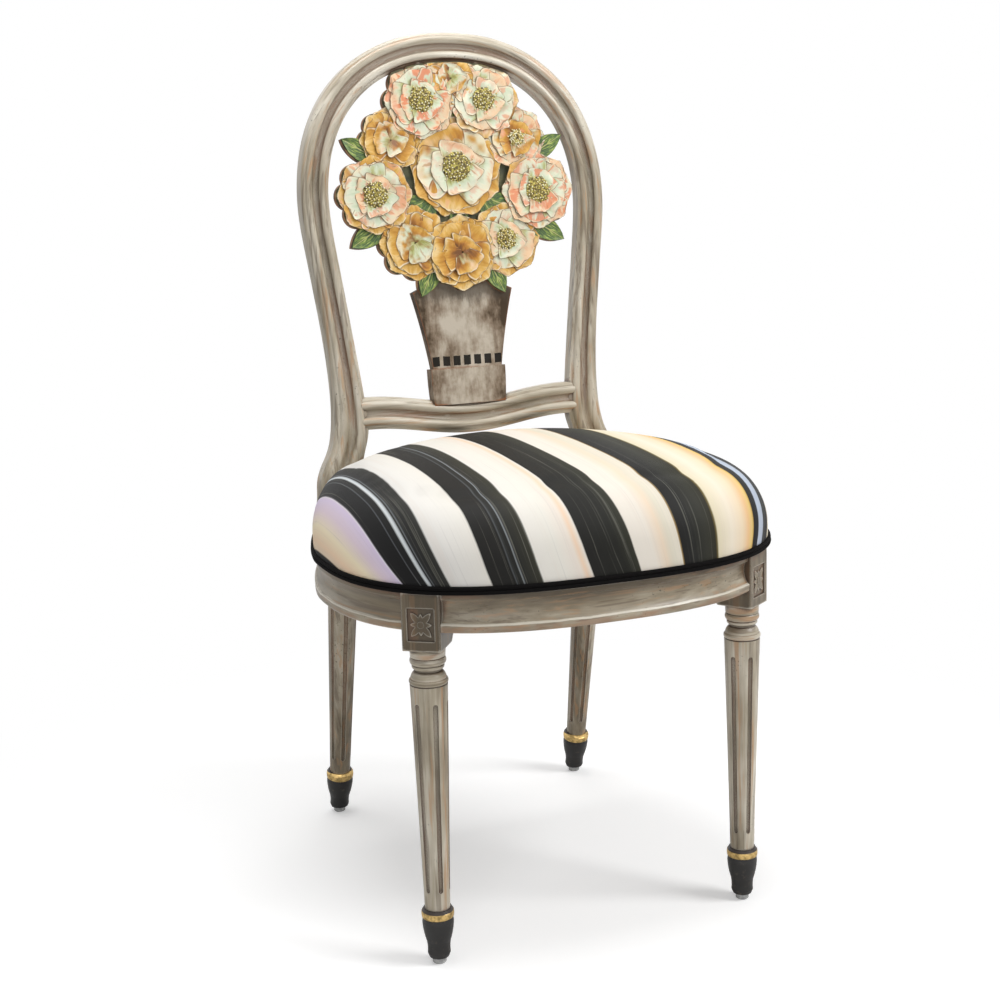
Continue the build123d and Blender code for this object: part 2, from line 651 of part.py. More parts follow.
# Back
back_frame = make_back_frame()
crest = split(back_frame, bisect_by=Plane.XY.offset(SPRING_Z), keep=Keep.TOP)
rear_legs = {name: make_rear_leg(side, back_frame) for name, side in SIDES.items()}
lower_rail = make_lower_rail_blank() - rear_legs["left"] - rear_legs["right"]
lower_rail += [make_lower_rail_tenon(-1), make_lower_rail_tenon(1)]
crest_dowels = make_crest_dowels()
plinth_dowels = splat_dowels(4, 30, 533, 575, 12)
vase_dowels = splat_dowels(4, 26, 576, 617, 9.3)
panel_dowels = splat_dowels(2, 38, 941, 978, 8.6)
lap_screws = make_lap_screws()
flower_panel = make_flower_panel_blank() - crest
vase = make_vase_blank() - flower_panel
plinth = make_plinth_blank() - lower_rail

# Seat frame
front_legs = {name: make_front_leg(side) for name, side in SIDES.items()}
front_tenons = {name: block_tenon(side, 0, -side * 15) for name, side in SIDES.items()}
side_tenons = {name: block_tenon(side, -8, side * 15) for name, side in SIDES.items()}
front_rail = largest(curved_rail(-137, -43, 15) - front_legs["left"] - front_legs["right"])
front_rail += [front_tenons["left"], front_tenons["right"]]
side_rails = {}
for name, side in SIDES.items():
    blank = curved_rail(-40, 43.5, 13)
    if side < 0:
        blank = mirror(blank, about=Plane.YZ)
    rail = largest(blank - front_legs[name] - rear_legs[name])
    side_rails[name] = rail + side_tenons[name] + side_rail_rear_tenon(side)
rear_rail = make_rear_rail()

# Mortises and dowel holes
for name, side in SIDES.items():
    front_legs[name] -= [front_tenons[name], side_tenons[name]]
    rear_legs[name] -= [make_lower_rail_tenon(side), side_rail_rear_tenon(side), rear_rail_tenon(side)]
    rear_legs[name] -= crest_dowels
crest -= crest_dowels + panel_dowels
lower_rail -= plinth_dowels
plinth -= plinth_dowels + vase_dowels
vase -= vase_dowels + lap_screws
flower_panel -= panel_dowels + lap_screws

# Corner braces
inside = seat_slab(RAIL_THICKNESS - 2, RAIL_BOTTOM, SEAT_TOP)
frame_pieces = [*front_legs.values(), *rear_legs.values(), *side_rails.values(), front_rail, rear_rail]
seat_screws = [seat_screw(x, y) for x, y, turn in CORNERS.values()]
braces = {}
for name, (x, y, turn) in CORNERS.items():
    braces[name] = make_corner_brace(x, y, turn, inside, frame_pieces) - seat_screws

# Upholstery
board = make_seat_board()
foam = make_seat_foam()
cover = make_seat_cover(board, foam)
board -= seat_screws
dust_cover = make_dust_cover()
for piece in frame_pieces + seat_screws:
    dust_cover -= piece

# Feet
axes = {f"front_{name}": front_axis(side) for name, side in SIDES.items()}
axes |= {f"rear_{name}": rear_axis(side) for name, side in SIDES.items()}
rear_glide_y = REAR_FOOT_Y - REAR_LEAN_Y * GLIDE_HEIGHT
glides = [make_glide(side * FRONT_LEG_X, FRONT_LEG_Y) for side in SIDES.values()]
glides += [make_glide(side * REAR_FOOT_X, rear_glide_y) for side in SIDES.values()]

save("crest_rail", crest)
save("lower_back_rail", lower_rail)
save("flower_panel", flower_panel)
save("vase_splat", vase)
save("vase_plinth", plinth)
save("crest_dowels", *crest_dowels)
save("plinth_dowels", *plinth_dowels)
save("vase_dowels", *vase_dowels)
save("panel_dowels", *panel_dowels)
save("lap_screws", *lap_screws)
for name in SIDES:
    save(f"rear_leg_{name}", rear_legs[name])
    save(f"front_leg_{name}", front_legs[name])
    save(f"side_seat_rail_{name}", side_rails[name])
save("front_seat_rail", front_rail)
save("rear_seat_rail", rear_rail)
for name, brace in braces.items():
    save(f"corner_brace_{name}", brace)
save("seat_screws", *seat_screws)
save("seat_board", board)
save("seat_foam", foam)
save("seat_cover", cover)
save("seat_welt", *make_seat_welt().solids())
save("dust_cover", dust_cover)
for name, axis in axes.items():
    foot = make_foot(axis)
    for glide in glides:
        foot -= glide
    save(f"foot_{name}", foot)
save("gilt_rings", *[make_ring(axis) for axis in axes.values()])
save("glides", *glides)
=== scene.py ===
from math import acos, asin, atan2, cos, degrees, hypot, pi, radians, sin, sqrt

import bmesh
import bpy
from mathutils import Matrix, Vector, noise


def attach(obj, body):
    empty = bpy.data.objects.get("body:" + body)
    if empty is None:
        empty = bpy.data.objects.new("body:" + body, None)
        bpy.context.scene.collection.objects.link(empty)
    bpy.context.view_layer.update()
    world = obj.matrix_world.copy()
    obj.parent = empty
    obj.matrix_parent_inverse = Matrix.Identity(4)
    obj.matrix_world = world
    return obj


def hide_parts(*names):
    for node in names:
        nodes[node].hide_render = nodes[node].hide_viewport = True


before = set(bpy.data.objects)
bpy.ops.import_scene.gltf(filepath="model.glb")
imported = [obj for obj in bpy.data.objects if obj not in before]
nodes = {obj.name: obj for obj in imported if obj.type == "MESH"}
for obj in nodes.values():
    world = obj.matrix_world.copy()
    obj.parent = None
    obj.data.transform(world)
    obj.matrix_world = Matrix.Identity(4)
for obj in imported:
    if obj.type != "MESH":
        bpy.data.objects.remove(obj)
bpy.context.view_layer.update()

# Camera. It stands before the chair, off to one side and above the seat, and looks at its middle
# from just under two metres away.
camera = bpy.data.objects.new("camera", bpy.data.cameras.new("camera"))
bpy.context.scene.collection.objects.link(camera)
camera.location = (-0.6727, -1.7149, 0.8279)
camera.rotation_euler = (radians(79.039), radians(1.593), radians(-21.462))
camera.data.sensor_width = 36.0
camera.data.lens = 57.66
camera.data.shift_x = -0.01285
camera.data.shift_y = -0.01578
bpy.context.scene.camera = camera

# Front legs. Beech, turned and fluted below a square block with a carved rosette.
# Painted greige over a red-brown coat, rubbed back on the edges and waxed dark in the hollows, with painted
# highlights along the edges and painted shade in the hollows and under the seat.
FRAME_GREY = [
    (0.22, (0.095, 0.071, 0.041)), (0.36, (0.225, 0.182, 0.120)), (0.48, (0.405, 0.352, 0.262)),
    (0.60, (0.580, 0.528, 0.430)), (0.74, (0.760, 0.720, 0.625)),
]
UNDERCOAT = (0.27, 0.105, 0.045)
OCHRE_RUB = (0.44, 0.235, 0.105)
UMBER_STREAK = (0.120, 0.082, 0.052)
RUBBED_EDGE_HIGHLIGHT = (0.78, 0.73, 0.62)
DARK_WAX_AND_SHADE = (0.062, 0.043, 0.027)
ARCH_MIDDLE_Z = 0.7965
SEAT_MIDDLE_Y = -0.040
BLOCK_FOOT_Z = 0.352
SHAFT_TOP_Z = 0.3128
TURNING_MIDDLE_Z = (BLOCK_FOOT_Z + SHAFT_TOP_Z) / 2
TURNING_HALF_HEIGHT = (BLOCK_FOOT_Z - SHAFT_TOP_Z) / 2
LATHE_LINES = (0.10, 0.10, 24.0)
ARCH_GRAIN_RADIUS = 0.18
SEAT_GRAIN_RADIUS = 0.24


def add_node(tree, kind, inputs=None, **settings):
    """One shader node: settings are its own, inputs are values or sockets to join."""
    made = tree.nodes.new(kind)
    for name, value in settings.items():
        setattr(made, name, value)
    for name, value in (inputs or {}).items():
        socket = made.inputs[name]
        if isinstance(value, bpy.types.NodeSocket):
            tree.links.new(value, socket)
        else:
            socket.default_value = value
    return made


def calculate(tree, operation, first, second=0.5, clamp=False):
    """Math node on one or two values."""
    made = add_node(tree, "ShaderNodeMath", {0: first, 1: second}, operation=operation, use_clamp=clamp)
    return made.outputs[0]


def product(tree, first, second, clamp=False):
    """One value times another."""
    return calculate(tree, "MULTIPLY", first, second, clamp)


def total(tree, first, second):
    """Two values added."""
    return calculate(tree, "ADD", first, second)


def less(tree, first, second):
    """The first value less the second."""
    return calculate(tree, "SUBTRACT", first, second)


def inverse(tree, value):
    """One less a value."""
    return calculate(tree, "SUBTRACT", 1.0, value)


def size_of(tree, value):
    """A value without its sign."""
    return calculate(tree, "ABSOLUTE", value)


def object_position(tree):
    """Coordinates on the piece, in metres."""
    return add_node(tree, "ShaderNodeTexCoord").outputs["Object"]


def axes(tree, vector):
    """The x, y and z of a vector."""
    return add_node(tree, "ShaderNodeSeparateXYZ", {0: vector}).outputs


def combine(tree, x, y, z):
    """A vector from its x, y and z."""
    return add_node(tree, "ShaderNodeCombineXYZ", {0: x, 1: y, 2: z}).outputs[0]


def in_hollow(tree, distance, samples):
    """Ambient occlusion from every piece: 0 on open faces, towards 1 deep in a hollow or close under
    another piece; a mask for painted shade.
    """
    shaded = add_node(tree, "ShaderNodeAmbientOcclusion", {"Distance": distance}, samples=samples)
    return inverse(tree, shaded.outputs["AO"])


def at_edge(tree, distance, samples):
    """0 on flats, towards 1 at an outer edge."""
    settings = {"samples": samples, "only_local": True, "inside": True}
    shaded = add_node(tree, "ShaderNodeAmbientOcclusion", {"Distance": distance}, **settings)
    return inverse(tree, shaded.outputs["AO"])


def scaled(tree, vector, scale, shift=(0, 0, 0)):
    """Coordinates drawn out by a scale for each axis, and shifted."""
    return add_node(tree, "ShaderNodeMapping", {0: vector, 1: shift, 3: scale}).outputs[0]


def noise_pattern(tree, vector, scale, detail, roughness=0.5):
    """Soft random pattern, about 0.5 on the whole."""
    inputs = {0: vector, 2: scale, 3: detail, 4: roughness}
    return add_node(tree, "ShaderNodeTexNoise", inputs).outputs[0]


def blend_colours(tree, amount, first, second):
    """Mix of two colours, given as values or sockets."""
    mix = add_node(tree, "ShaderNodeMix", data_type="RGBA")
    for index, value in ((0, amount), (6, first), (7, second)):
        if isinstance(value, bpy.types.NodeSocket):
            tree.links.new(value, mix.inputs[index])
        elif index == 0:
            mix.inputs[0].default_value = value
        else:
            mix.inputs[index].default_value = (*value[:3], 1.0)
    return mix.outputs[2]


def colour_ramp(tree, value, stops):
    """Colour ramp from (position, colour) stops."""
    ramp = add_node(tree, "ShaderNodeValToRGB", {0: value})
    while len(ramp.color_ramp.elements) < len(stops):
        ramp.color_ramp.elements.new(1.0)
    for element, (position, colour) in zip(ramp.color_ramp.elements, stops):
        element.position = position
        element.color = (*colour, 1.0)
    return ramp.outputs[0]


def threshold(tree, value, low, high):
    """0 below low, 1 above high, smooth between."""
    span = add_node(tree, "ShaderNodeMapRange", {0: value, 1: low, 2: high, 3: 0.0, 4: 1.0})
    span.interpolation_type = "SMOOTHSTEP"
    return span.outputs[0]


def add_bump(tree, shader, height, strength, distance):
    """Fine relief on a shader, from a pattern of heights."""
    bump = add_node(tree, "ShaderNodeBump", {"Strength": strength, "Distance": distance, "Height": height})
    tree.links.new(bump.outputs[0], shader.inputs["Normal"])


def new_material(name, roughness=0.5, shine=0.5):
    """Node material with its tree and its shader."""
    material = bpy.data.materials.new(name)
    material.use_nodes = True
    shader = material.node_tree.nodes["Principled BSDF"]
    shader.inputs["Roughness"].default_value = roughness
    shader.inputs["Specular IOR Level"].default_value = shine
    return material, material.node_tree, shader


def grain_vector(tree, along):
    """Coordinates with x and y across the grain and z along it, in metres."""
    position = object_position(tree)
    x, y, z = axes(tree, position)
    if along == "z":
        drawn = add_node(tree, "ShaderNodeVectorMath", {0: position, 1: LATHE_LINES}, operation="MULTIPLY")
        off_middle = size_of(tree, less(tree, z, TURNING_MIDDLE_Z))
        neck = calculate(tree, "LESS_THAN", off_middle, TURNING_HALF_HEIGHT)
        pick = add_node(tree, "ShaderNodeMix", data_type="VECTOR")
        for index, socket in ((0, neck), (4, position), (5, drawn.outputs[0])):
            tree.links.new(socket, pick.inputs[index])
        return pick.outputs[1]
    if along == "x":
        return combine(tree, y, z, x)
    if along == "back":
        over = less(tree, z, ARCH_MIDDLE_Z)
        rise = calculate(tree, "MAXIMUM", over, 0.0)
        fall = product(tree, calculate(tree, "MINIMUM", over, 0.0), calculate(tree, "SIGN", x))
        bend = product(tree, calculate(tree, "ARCTAN2", rise, x), ARCH_GRAIN_RADIUS)
        squares = total(tree, product(tree, x, x), product(tree, rise, rise))
        across = calculate(tree, "SQRT", squares)
        return combine(tree, across, y, total(tree, bend, fall))
    second = less(tree, y, SEAT_MIDDLE_Y)
    turn = product(tree, calculate(tree, "ARCTAN2", second, x), SEAT_GRAIN_RADIUS)
    squares = total(tree, product(tree, x, x), product(tree, second, second))
    return combine(tree, calculate(tree, "SQRT", squares), z, turn)


def frame_paint(
    name, along, wear=0.5, painted_dusk=0.0, contrast=1.0, wax_and_shade=1.0, joint_height=None, ends=None, painted_shades=()
):
    """Brushed greige paint, rubbed back at the edges and waxed dark in the hollows, with painted light and
    shade.

    painted_dusk deepens it all as painted shade, and pales it as painted light when below 0; painted_shades
    are (low, high, deeper) heights, where a band is made darker as painted shade, and paler as painted
    light when deeper is below 0; wax_and_shade darkens hollows and faces close under other pieces, as dark
    wax and painted shade; the edges get a pale rubbed line of painted highlight; rubbing and highlight stop
    at joints and ends.
    """
    material, tree, shader = new_material(name)
    grain = grain_vector(tree, along)
    breadth, _, height = axes(tree, object_position(tree))
    stretched = scaled(tree, grain, (130, 130, 6))
    streaks = noise_pattern(tree, stretched, 1.0, 4.0, 0.6)
    drifts = scaled(tree, grain, (30, 30, 10), (3, 5, 7))
    drift = noise_pattern(tree, drifts, 1.0, 3.0, 0.5)
    tone = total(tree, product(tree, streaks, 0.42), product(tree, drift, 0.58))
    tone = total(tree, product(tree, tone, contrast), 0.5 - 0.5 * contrast - painted_dusk)
    ochre_share = 0.62 * wear
    # Painted light and shade: bands of height made darker, and paler where deeper is below 0.
    for low, high, deeper in painted_shades:
        above = threshold(tree, height, low, high)
        tone = less(tree, tone, product(tree, above, deeper))
        covered = product(tree, above, 2.4 * max(0.0, deeper))
        ochre_share = product(tree, ochre_share, inverse(tree, covered))
    colour = colour_ramp(tree, tone, FRAME_GREY)

    lines = scaled(tree, grain, (150, 150, 4), (9, 2, 4))
    line = noise_pattern(tree, lines, 1.0, 3.0, 0.6)
    ochre = product(tree, threshold(tree, line, 0.54, 0.66), ochre_share)
    colour = blend_colours(tree, ochre, colour, OCHRE_RUB)
    umber = product(tree, inverse(tree, threshold(tree, line, 0.35, 0.45)), 0.55)
    colour = blend_colours(tree, umber, colour, UMBER_STREAK)

    # Dark wax in the hollows, and painted shade in them and on faces close under other pieces.
    closed = product(tree, in_hollow(tree, 0.010, 8), wax_and_shade)
    ragged = total(tree, closed, product(tree, less(tree, line, 0.5), 0.30))
    beside = product(tree, threshold(tree, ragged, 0.17, 0.24), threshold(tree, drift, 0.42, 0.54))
    colour = blend_colours(tree, product(tree, beside, 0.60 * wear), colour, UNDERCOAT)
    wax_and_painted_shade = product(tree, threshold(tree, ragged, 0.20, 0.46), 0.90)
    colour = blend_colours(tree, wax_and_painted_shade, colour, DARK_WAX_AND_SHADE)

    corner = at_edge(tree, 0.004, 8)
    if joint_height:
        off_joint = size_of(tree, less(tree, height, joint_height))
        corner = product(tree, corner, threshold(tree, off_joint, 0.003, 0.008))
    if ends:
        off_joint = size_of(tree, breadth)
        near_end = threshold(tree, off_joint, ends - 0.010, ends - 0.004)
        corner = product(tree, corner, inverse(tree, near_end))
    # Painted highlight: a pale line along the outer edges, where the paint is also rubbed.
    glint = product(tree, threshold(tree, corner, 0.22, 0.55), 0.50)
    colour = blend_colours(tree, glint, colour, RUBBED_EDGE_HIGHLIGHT)
    patchy = total(tree, product(tree, line, 0.6), product(tree, drift, 0.5))
    patch = threshold(tree, patchy, 0.53, 0.62)
    rubbed = product(tree, threshold(tree, corner, 0.42, 0.70), product(tree, patch, 0.9))
    colour = blend_colours(tree, rubbed, colour, UNDERCOAT)

    pits = noise_pattern(tree, grain, 420.0, 2.0, 0.5)
    pit = product(tree, threshold(tree, pits, 0.66, 0.70), threshold(tree, drift, 0.54, 0.62))
    colour = blend_colours(tree, product(tree, pit, 0.8), colour, (0.03, 0.022, 0.016))
    tree.links.new(colour, shader.inputs["Base Color"])

    roughness = total(tree, product(tree, streaks, 0.30), 0.17)
    tree.links.new(roughness, shader.inputs["Roughness"])
    relief = less(tree, streaks, product(tree, pit, 0.8))
    add_bump(tree, shader, relief, 0.20, 0.0005)
    return material


def paint_nodes(material, *names):
    """Gives CAD nodes one material."""
    for name in names:
        nodes[name].data.materials.clear()
        nodes[name].data.materials.append(material)


# Painted shade: the square block at the top of each front leg is darker, as under the seat.
BLOCK_PAINTED_SHADE = (BLOCK_FOOT_Z - 0.002, BLOCK_FOOT_Z + 0.002, 0.30)
leg_paint = frame_paint(
    "greige_paint_upright", "z", wear=1.0, painted_dusk=-0.02, contrast=1.2, wax_and_shade=1.5, painted_shades=[BLOCK_PAINTED_SHADE]
)
paint_nodes(leg_paint, "front_leg_left", "front_leg_right")

# Rear legs and crest. Each rear leg runs on as a moulded stile, and the crest closes the arch.
# The paint runs on over the two joints at the spring of the arch, with red-brown beside the beads. The rear
# legs under the seat are painted darker as shade, and the stiles and the top of the arch paler as painted
# light.
STILE_PAINTED_LIGHT = (0.40, 0.54, -0.145)
ARCH_PAINTED_LIGHT = (0.80, 0.95, -0.04)
back_paint = frame_paint(
    "greige_paint_back", "back", wear=0.9, painted_dusk=0.12, contrast=0.9, wax_and_shade=1.1,
    joint_height=ARCH_MIDDLE_Z, painted_shades=[STILE_PAINTED_LIGHT, ARCH_PAINTED_LIGHT]
)
paint_nodes(back_paint, "rear_leg_left", "rear_leg_right", "crest_rail")

# Lower back rail and rear seat rail. Beech pieces tenoned between the rear legs, their grain
# running across the chair and their paint brushed from side to side, and set a little paler as painted
# light.
RAIL_END_X = 0.130
cross_paint = frame_paint(
    "greige_paint_cross", "x", wear=1.0, painted_dusk=-0.07, contrast=0.8, wax_and_shade=1.1, ends=RAIL_END_X
)
paint_nodes(cross_paint, "lower_back_rail", "rear_seat_rail")

# Seat rails. Coved and bowed, brushed along their length round the seat.
# A pale rubbed line with painted highlight runs along the top of the small fascia, with red-brown under it.
# The rails are painted darker as shade under the seat, most towards the top, under the welt.
FASCIA_TOP_Z = 0.3812
RED_BROWN = (0.30, 0.17, 0.10)
COVE_PAINTED_SHADE = (0.384, 0.412, 0.15)
rail_paint = frame_paint(
    "greige_paint_bowed", "seat", wear=0.7, painted_dusk=0.09, contrast=0.65, painted_shades=[COVE_PAINTED_SHADE]
)
tree, shader = rail_paint.node_tree, rail_paint.node_tree.nodes["Principled BSDF"]
height = axes(tree, object_position(tree))[2]
fray = noise_pattern(tree, scaled(tree, grain_vector(tree, "seat"), (60, 60, 30)), 1.0, 4.0)
level = total(tree, height, product(tree, less(tree, fray, 0.5), 0.003))
below_line = inverse(tree, threshold(tree, level, FASCIA_TOP_Z - 0.0035, FASCIA_TOP_Z - 0.0015))
red_foot = product(tree, below_line, threshold(tree, fray, 0.40, 0.60))
# Painted highlight: a pale rubbed line along the top of the fascia.
off_line = size_of(tree, less(tree, level, FASCIA_TOP_Z - 0.0006))
rubbed_highlight_line = inverse(tree, threshold(tree, off_line, 0.0006, 0.0014))
colour = shader.inputs["Base Color"].links[0].from_socket
colour = blend_colours(tree, product(tree, red_foot, 0.55), colour, RED_BROWN)
colour = blend_colours(tree, product(tree, rubbed_highlight_line, 0.75), colour, RUBBED_EDGE_HIGHLIGHT)
tree.links.new(colour, shader.inputs["Base Color"])
paint_nodes(rail_paint, "front_seat_rail", "side_seat_rail_left", "side_seat_rail_right")

# Corner braces and dowels. Unfinished beech: the braces are fitted inside the corners of the
# seat frame, and the dowels are glued inside the joints of the back.


def tint(tree, shader, pattern, stops):
    """Colours a shader by a pattern, from (position, colour) stops."""
    tree.links.new(colour_ramp(tree, pattern, stops), shader.inputs["Base Color"])


def bare_wood(name, light, dark):
    """Unfinished wood with long pores."""
    material, tree, shader = new_material(name, 0.7)
    position = object_position(tree)
    stretched = scaled(tree, position, (25, 160, 160))
    pores = noise_pattern(tree, stretched, 1.0, 6.0, 0.65)
    tint(tree, shader, pores, [(0.35, dark), (0.62, light)])
    add_bump(tree, shader, pores, 0.2, 0.0004)
    return material


beech = bare_wood("bare_beech", (0.55, 0.36, 0.20), (0.38, 0.22, 0.11))
paint_nodes(beech, *[name for name in nodes if name.startswith("corner_brace") or name.endswith("dowels")])

# Seat board and screws. Birch plywood laid on the rails, held by zinc-plated screws up through
# the braces; three more screws join the flower panel to the vase from behind.
paint_nodes(bare_wood("birch_plywood", (0.62, 0.46, 0.29), (0.46, 0.31, 0.17)), "seat_board")


def metal(name, base, low, high, scale):
    """Metal with an uneven polish."""
    material, tree, shader = new_material(name)
    position = object_position(tree)
    tarnish = noise_pattern(tree, position, scale, 4.0, 0.6)
    dull = tuple(0.45 * value for value in base)
    tint(tree, shader, tarnish, [(0.38, dull), (0.58, base)])
    span = add_node(tree, "ShaderNodeMapRange", {0: tarnish, 1: 0.3, 2: 0.7, 3: high, 4: low})
    tree.links.new(span.outputs[0], shader.inputs["Roughness"])
    shader.inputs["Metallic"].default_value = 1.0
    add_bump(tree, shader, tarnish, 0.15, 0.0003)
    return material


paint_nodes(metal("zinc_plate", (0.55, 0.56, 0.58), 0.3, 0.5, 300.0), "seat_screws", "lap_screws")

# Plinth and vase. Flat boards painted to look round: pale in the middle, brown towards the sides.
# A row of small dark blocks runs across the foot of the vase, and a painted shadow darkens its front under
# the flowers.
VASE_BLOCK_PITCH = 0.0137
VASE_BLOCK_WIDTH = 0.0092
VASE_BLOCK_Z = 0.6012
VASE_BLOCK_HALF_HEIGHT = 0.0060
VASE_SHADOW_Z = 0.668
VASE_HALF_WIDTH = 0.062
PLINTH_HALF_WIDTH = 0.060
VASE_TONES = [
    (0.02, (0.56, 0.50, 0.41)), (0.28, (0.44, 0.375, 0.295)), (0.60, (0.25, 0.19, 0.135)),
    (0.85, (0.12, 0.085, 0.055)), (1.0, (0.06, 0.040, 0.024)),
]


def facing_back(tree):
    """How far a face looks to the back: -1 to the front, 1 to the back."""
    return axes(tree, add_node(tree, "ShaderNodeNewGeometry").outputs["Normal"])[1]


def vase_paint(name, half_width, with_blocks):
    """Shaded grey-brown paint on a splat board."""
    material, tree, shader = new_material(name, 0.55, 0.15)
    position = object_position(tree)
    x, _, z = axes(tree, position)
    stretched = scaled(tree, position, (120, 120, 34))
    strokes = noise_pattern(tree, stretched, 1.0, 6.0, 0.65)
    clouds = noise_pattern(tree, position, 28.0, 4.0, 0.6)
    side = calculate(tree, "DIVIDE", size_of(tree, total(tree, x, 0.004)), half_width)
    uneven = total(tree, product(tree, clouds, 1.9), product(tree, strokes, 1.3))
    shade = total(tree, product(tree, side, side), less(tree, uneven, 1.42))
    colour = colour_ramp(tree, shade, VASE_TONES)
    if with_blocks:
        on_front = calculate(tree, "LESS_THAN", facing_back(tree), 0.5)
        # Painted shadow: the vase front is darker just under the flowers.
        gloom = total(tree, product(tree, less(tree, z, VASE_SHADOW_Z), 38.0), product(tree, strokes, 1.4))
        shadow_under_flowers = product(tree, threshold(tree, gloom, 0.7, 1.3), product(tree, on_front, 0.75))
        colour = blend_colours(tree, shadow_under_flowers, colour, (0.095, 0.075, 0.055))
        phase = calculate(tree, "FRACT", total(tree, calculate(tree, "DIVIDE", x, VASE_BLOCK_PITCH), 100.5))
        across = size_of(tree, less(tree, phase, 0.5))
        ragged = product(tree, less(tree, strokes, 0.5), 0.0030)
        half_block = 0.5 * VASE_BLOCK_WIDTH / VASE_BLOCK_PITCH
        in_width = calculate(tree, "LESS_THAN", across, half_block)
        rise = size_of(tree, less(tree, total(tree, z, ragged), VASE_BLOCK_Z))
        in_height = calculate(tree, "LESS_THAN", rise, VASE_BLOCK_HALF_HEIGHT)
        block = product(tree, product(tree, in_width, in_height), product(tree, on_front, 0.97))
        colour = blend_colours(tree, block, colour, (0.006, 0.005, 0.004))
    corner = at_edge(tree, 0.003, 6)
    rubbed = product(tree, threshold(tree, corner, 0.25, 0.5), threshold(tree, clouds, 0.40, 0.5))
    colour = blend_colours(tree, product(tree, rubbed, 0.8), colour, UNDERCOAT)
    tree.links.new(colour, shader.inputs["Base Color"])
    add_bump(tree, shader, strokes, 0.25, 0.0005)
    return material


paint_nodes(vase_paint("vase_shaded_paint", VASE_HALF_WIDTH, True), "vase_splat")
paint_nodes(vase_paint("plinth_shaded_paint", PLINTH_HALF_WIDTH, False), "vase_plinth")

# Flower panel. A pierced board, its faces painted a mottled dark green and its cut edges brown.
# The flowers stand on its face as thin petals of gesso, brushed in cream, peach, coral and ochre.
BACK_RAKE = radians(5.66)
PANEL_FACE = 0.001
BLOOMS = [
    # middle x, height, radius, petals, warmth of outer, middle and inner petals (0 gold, 1 pale), coral
    (0.0, 0.838, 0.062, 9, 0.05, 0.55, 1.0, 0.35),
    (-0.041, 0.919, 0.047, 8, 0.85, 0.95, 0.80, 0.85),
    (0.041, 0.919, 0.047, 8, 0.60, 1.0, 0.95, 0.55),
    (-0.082, 0.872, 0.040, 8, 0.25, 0.15, 0.55, 0.15),
    (0.082, 0.872, 0.040, 8, 0.95, 0.65, 0.30, 0.60),
    (-0.107, 0.807, 0.048, 8, 0.30, 0.90, 1.0, 0.55),
    (0.106, 0.807, 0.048, 8, 0.75, 0.95, 0.85, 0.80),
    (-0.060, 0.748, 0.046, 8, 0.05, 0.20, 0.45, 0.05),
    (0.060, 0.748, 0.046, 8, 0.15, 0.85, 1.0, 0.30),
    (0.0, 0.734, 0.047, 8, 0.0, 0.10, 0.30, 0.0),
    (0.0, 0.945, 0.036, 7, 0.35, 0.20, 0.60, 0.35),
]
LEAVES = [
    # root x, root height, length, width, heading in degrees
    (-0.090, 0.844, 0.062, 0.026, 150.0),
    (0.090, 0.844, 0.062, 0.026, 30.0),
    (-0.084, 0.780, 0.066, 0.030, 212.0),
    (0.084, 0.780, 0.066, 0.030, 328.0),
    (-0.028, 0.738, 0.062, 0.028, 244.0),
    (0.028, 0.738, 0.062, 0.028, 296.0),
    (-0.036, 0.800, 0.050, 0.026, 200.0),
    (0.036, 0.800, 0.050, 0.026, 340.0),
    (-0.030, 0.802, 0.048, 0.024, 238.0),
    (0.030, 0.802, 0.048, 0.024, 302.0),
    (0.0, 0.795, 0.040, 0.024, 270.0),
    (-0.036, 0.868, 0.044, 0.026, 148.0),
    (0.036, 0.868, 0.044, 0.026, 32.0),
    (0.0, 0.885, 0.044, 0.024, 90.0),
]
front = Vector((0, -cos(BACK_RAKE), sin(BACK_RAKE)))
upward = Vector((0, sin(BACK_RAKE), cos(BACK_RAKE)))
BACK_REFERENCE = Vector((0, 0.156, 0.4955))
ARCH_HALF_WIDTH = 0.161
ARCH_RISE = 0.167
ARCH_POWER = 2.25
PETAL_LAYERS = ("pale", "coral", "lot")
LAYER_STEP = 0.0009
SEED_STEP = 1.37
PETAL_CURL = 0.0021
PETAL_THICKNESS = 0.0007
LEAF_LIFT = 0.0004
LEAF_CURL = 0.0014
LEAF_THICKNESS = 0.0006


def on_panel(x, height, proud=0.0):
    """Point over the panel's face at a height above the floor, kept inside the arch."""
    if height > ARCH_MIDDLE_Z:
        across, above = abs(x) / ARCH_HALF_WIDTH, (height - ARCH_MIDDLE_Z) / ARCH_RISE
        over = (across ** ARCH_POWER + above ** ARCH_POWER) ** (1 / ARCH_POWER)
        if over > 1:
            x, height = x / over, ARCH_MIDDLE_Z + (height - ARCH_MIDDLE_Z) / over
    along = (height - BACK_REFERENCE.z) / cos(BACK_RAKE)
    return BACK_REFERENCE + Vector((x, 0, 0)) + upward * along + front * (proud - PANEL_FACE)


def deselect_all():
    """Leaves nothing selected, so that an operator acts on the new piece alone."""
    bpy.ops.object.select_all(action="DESELECT")


def bloom_layer(order):
    """How far a bloom stands over the lowest ones, so that neighbours overlap."""
    return LAYER_STEP * ((order * 3) % 4)


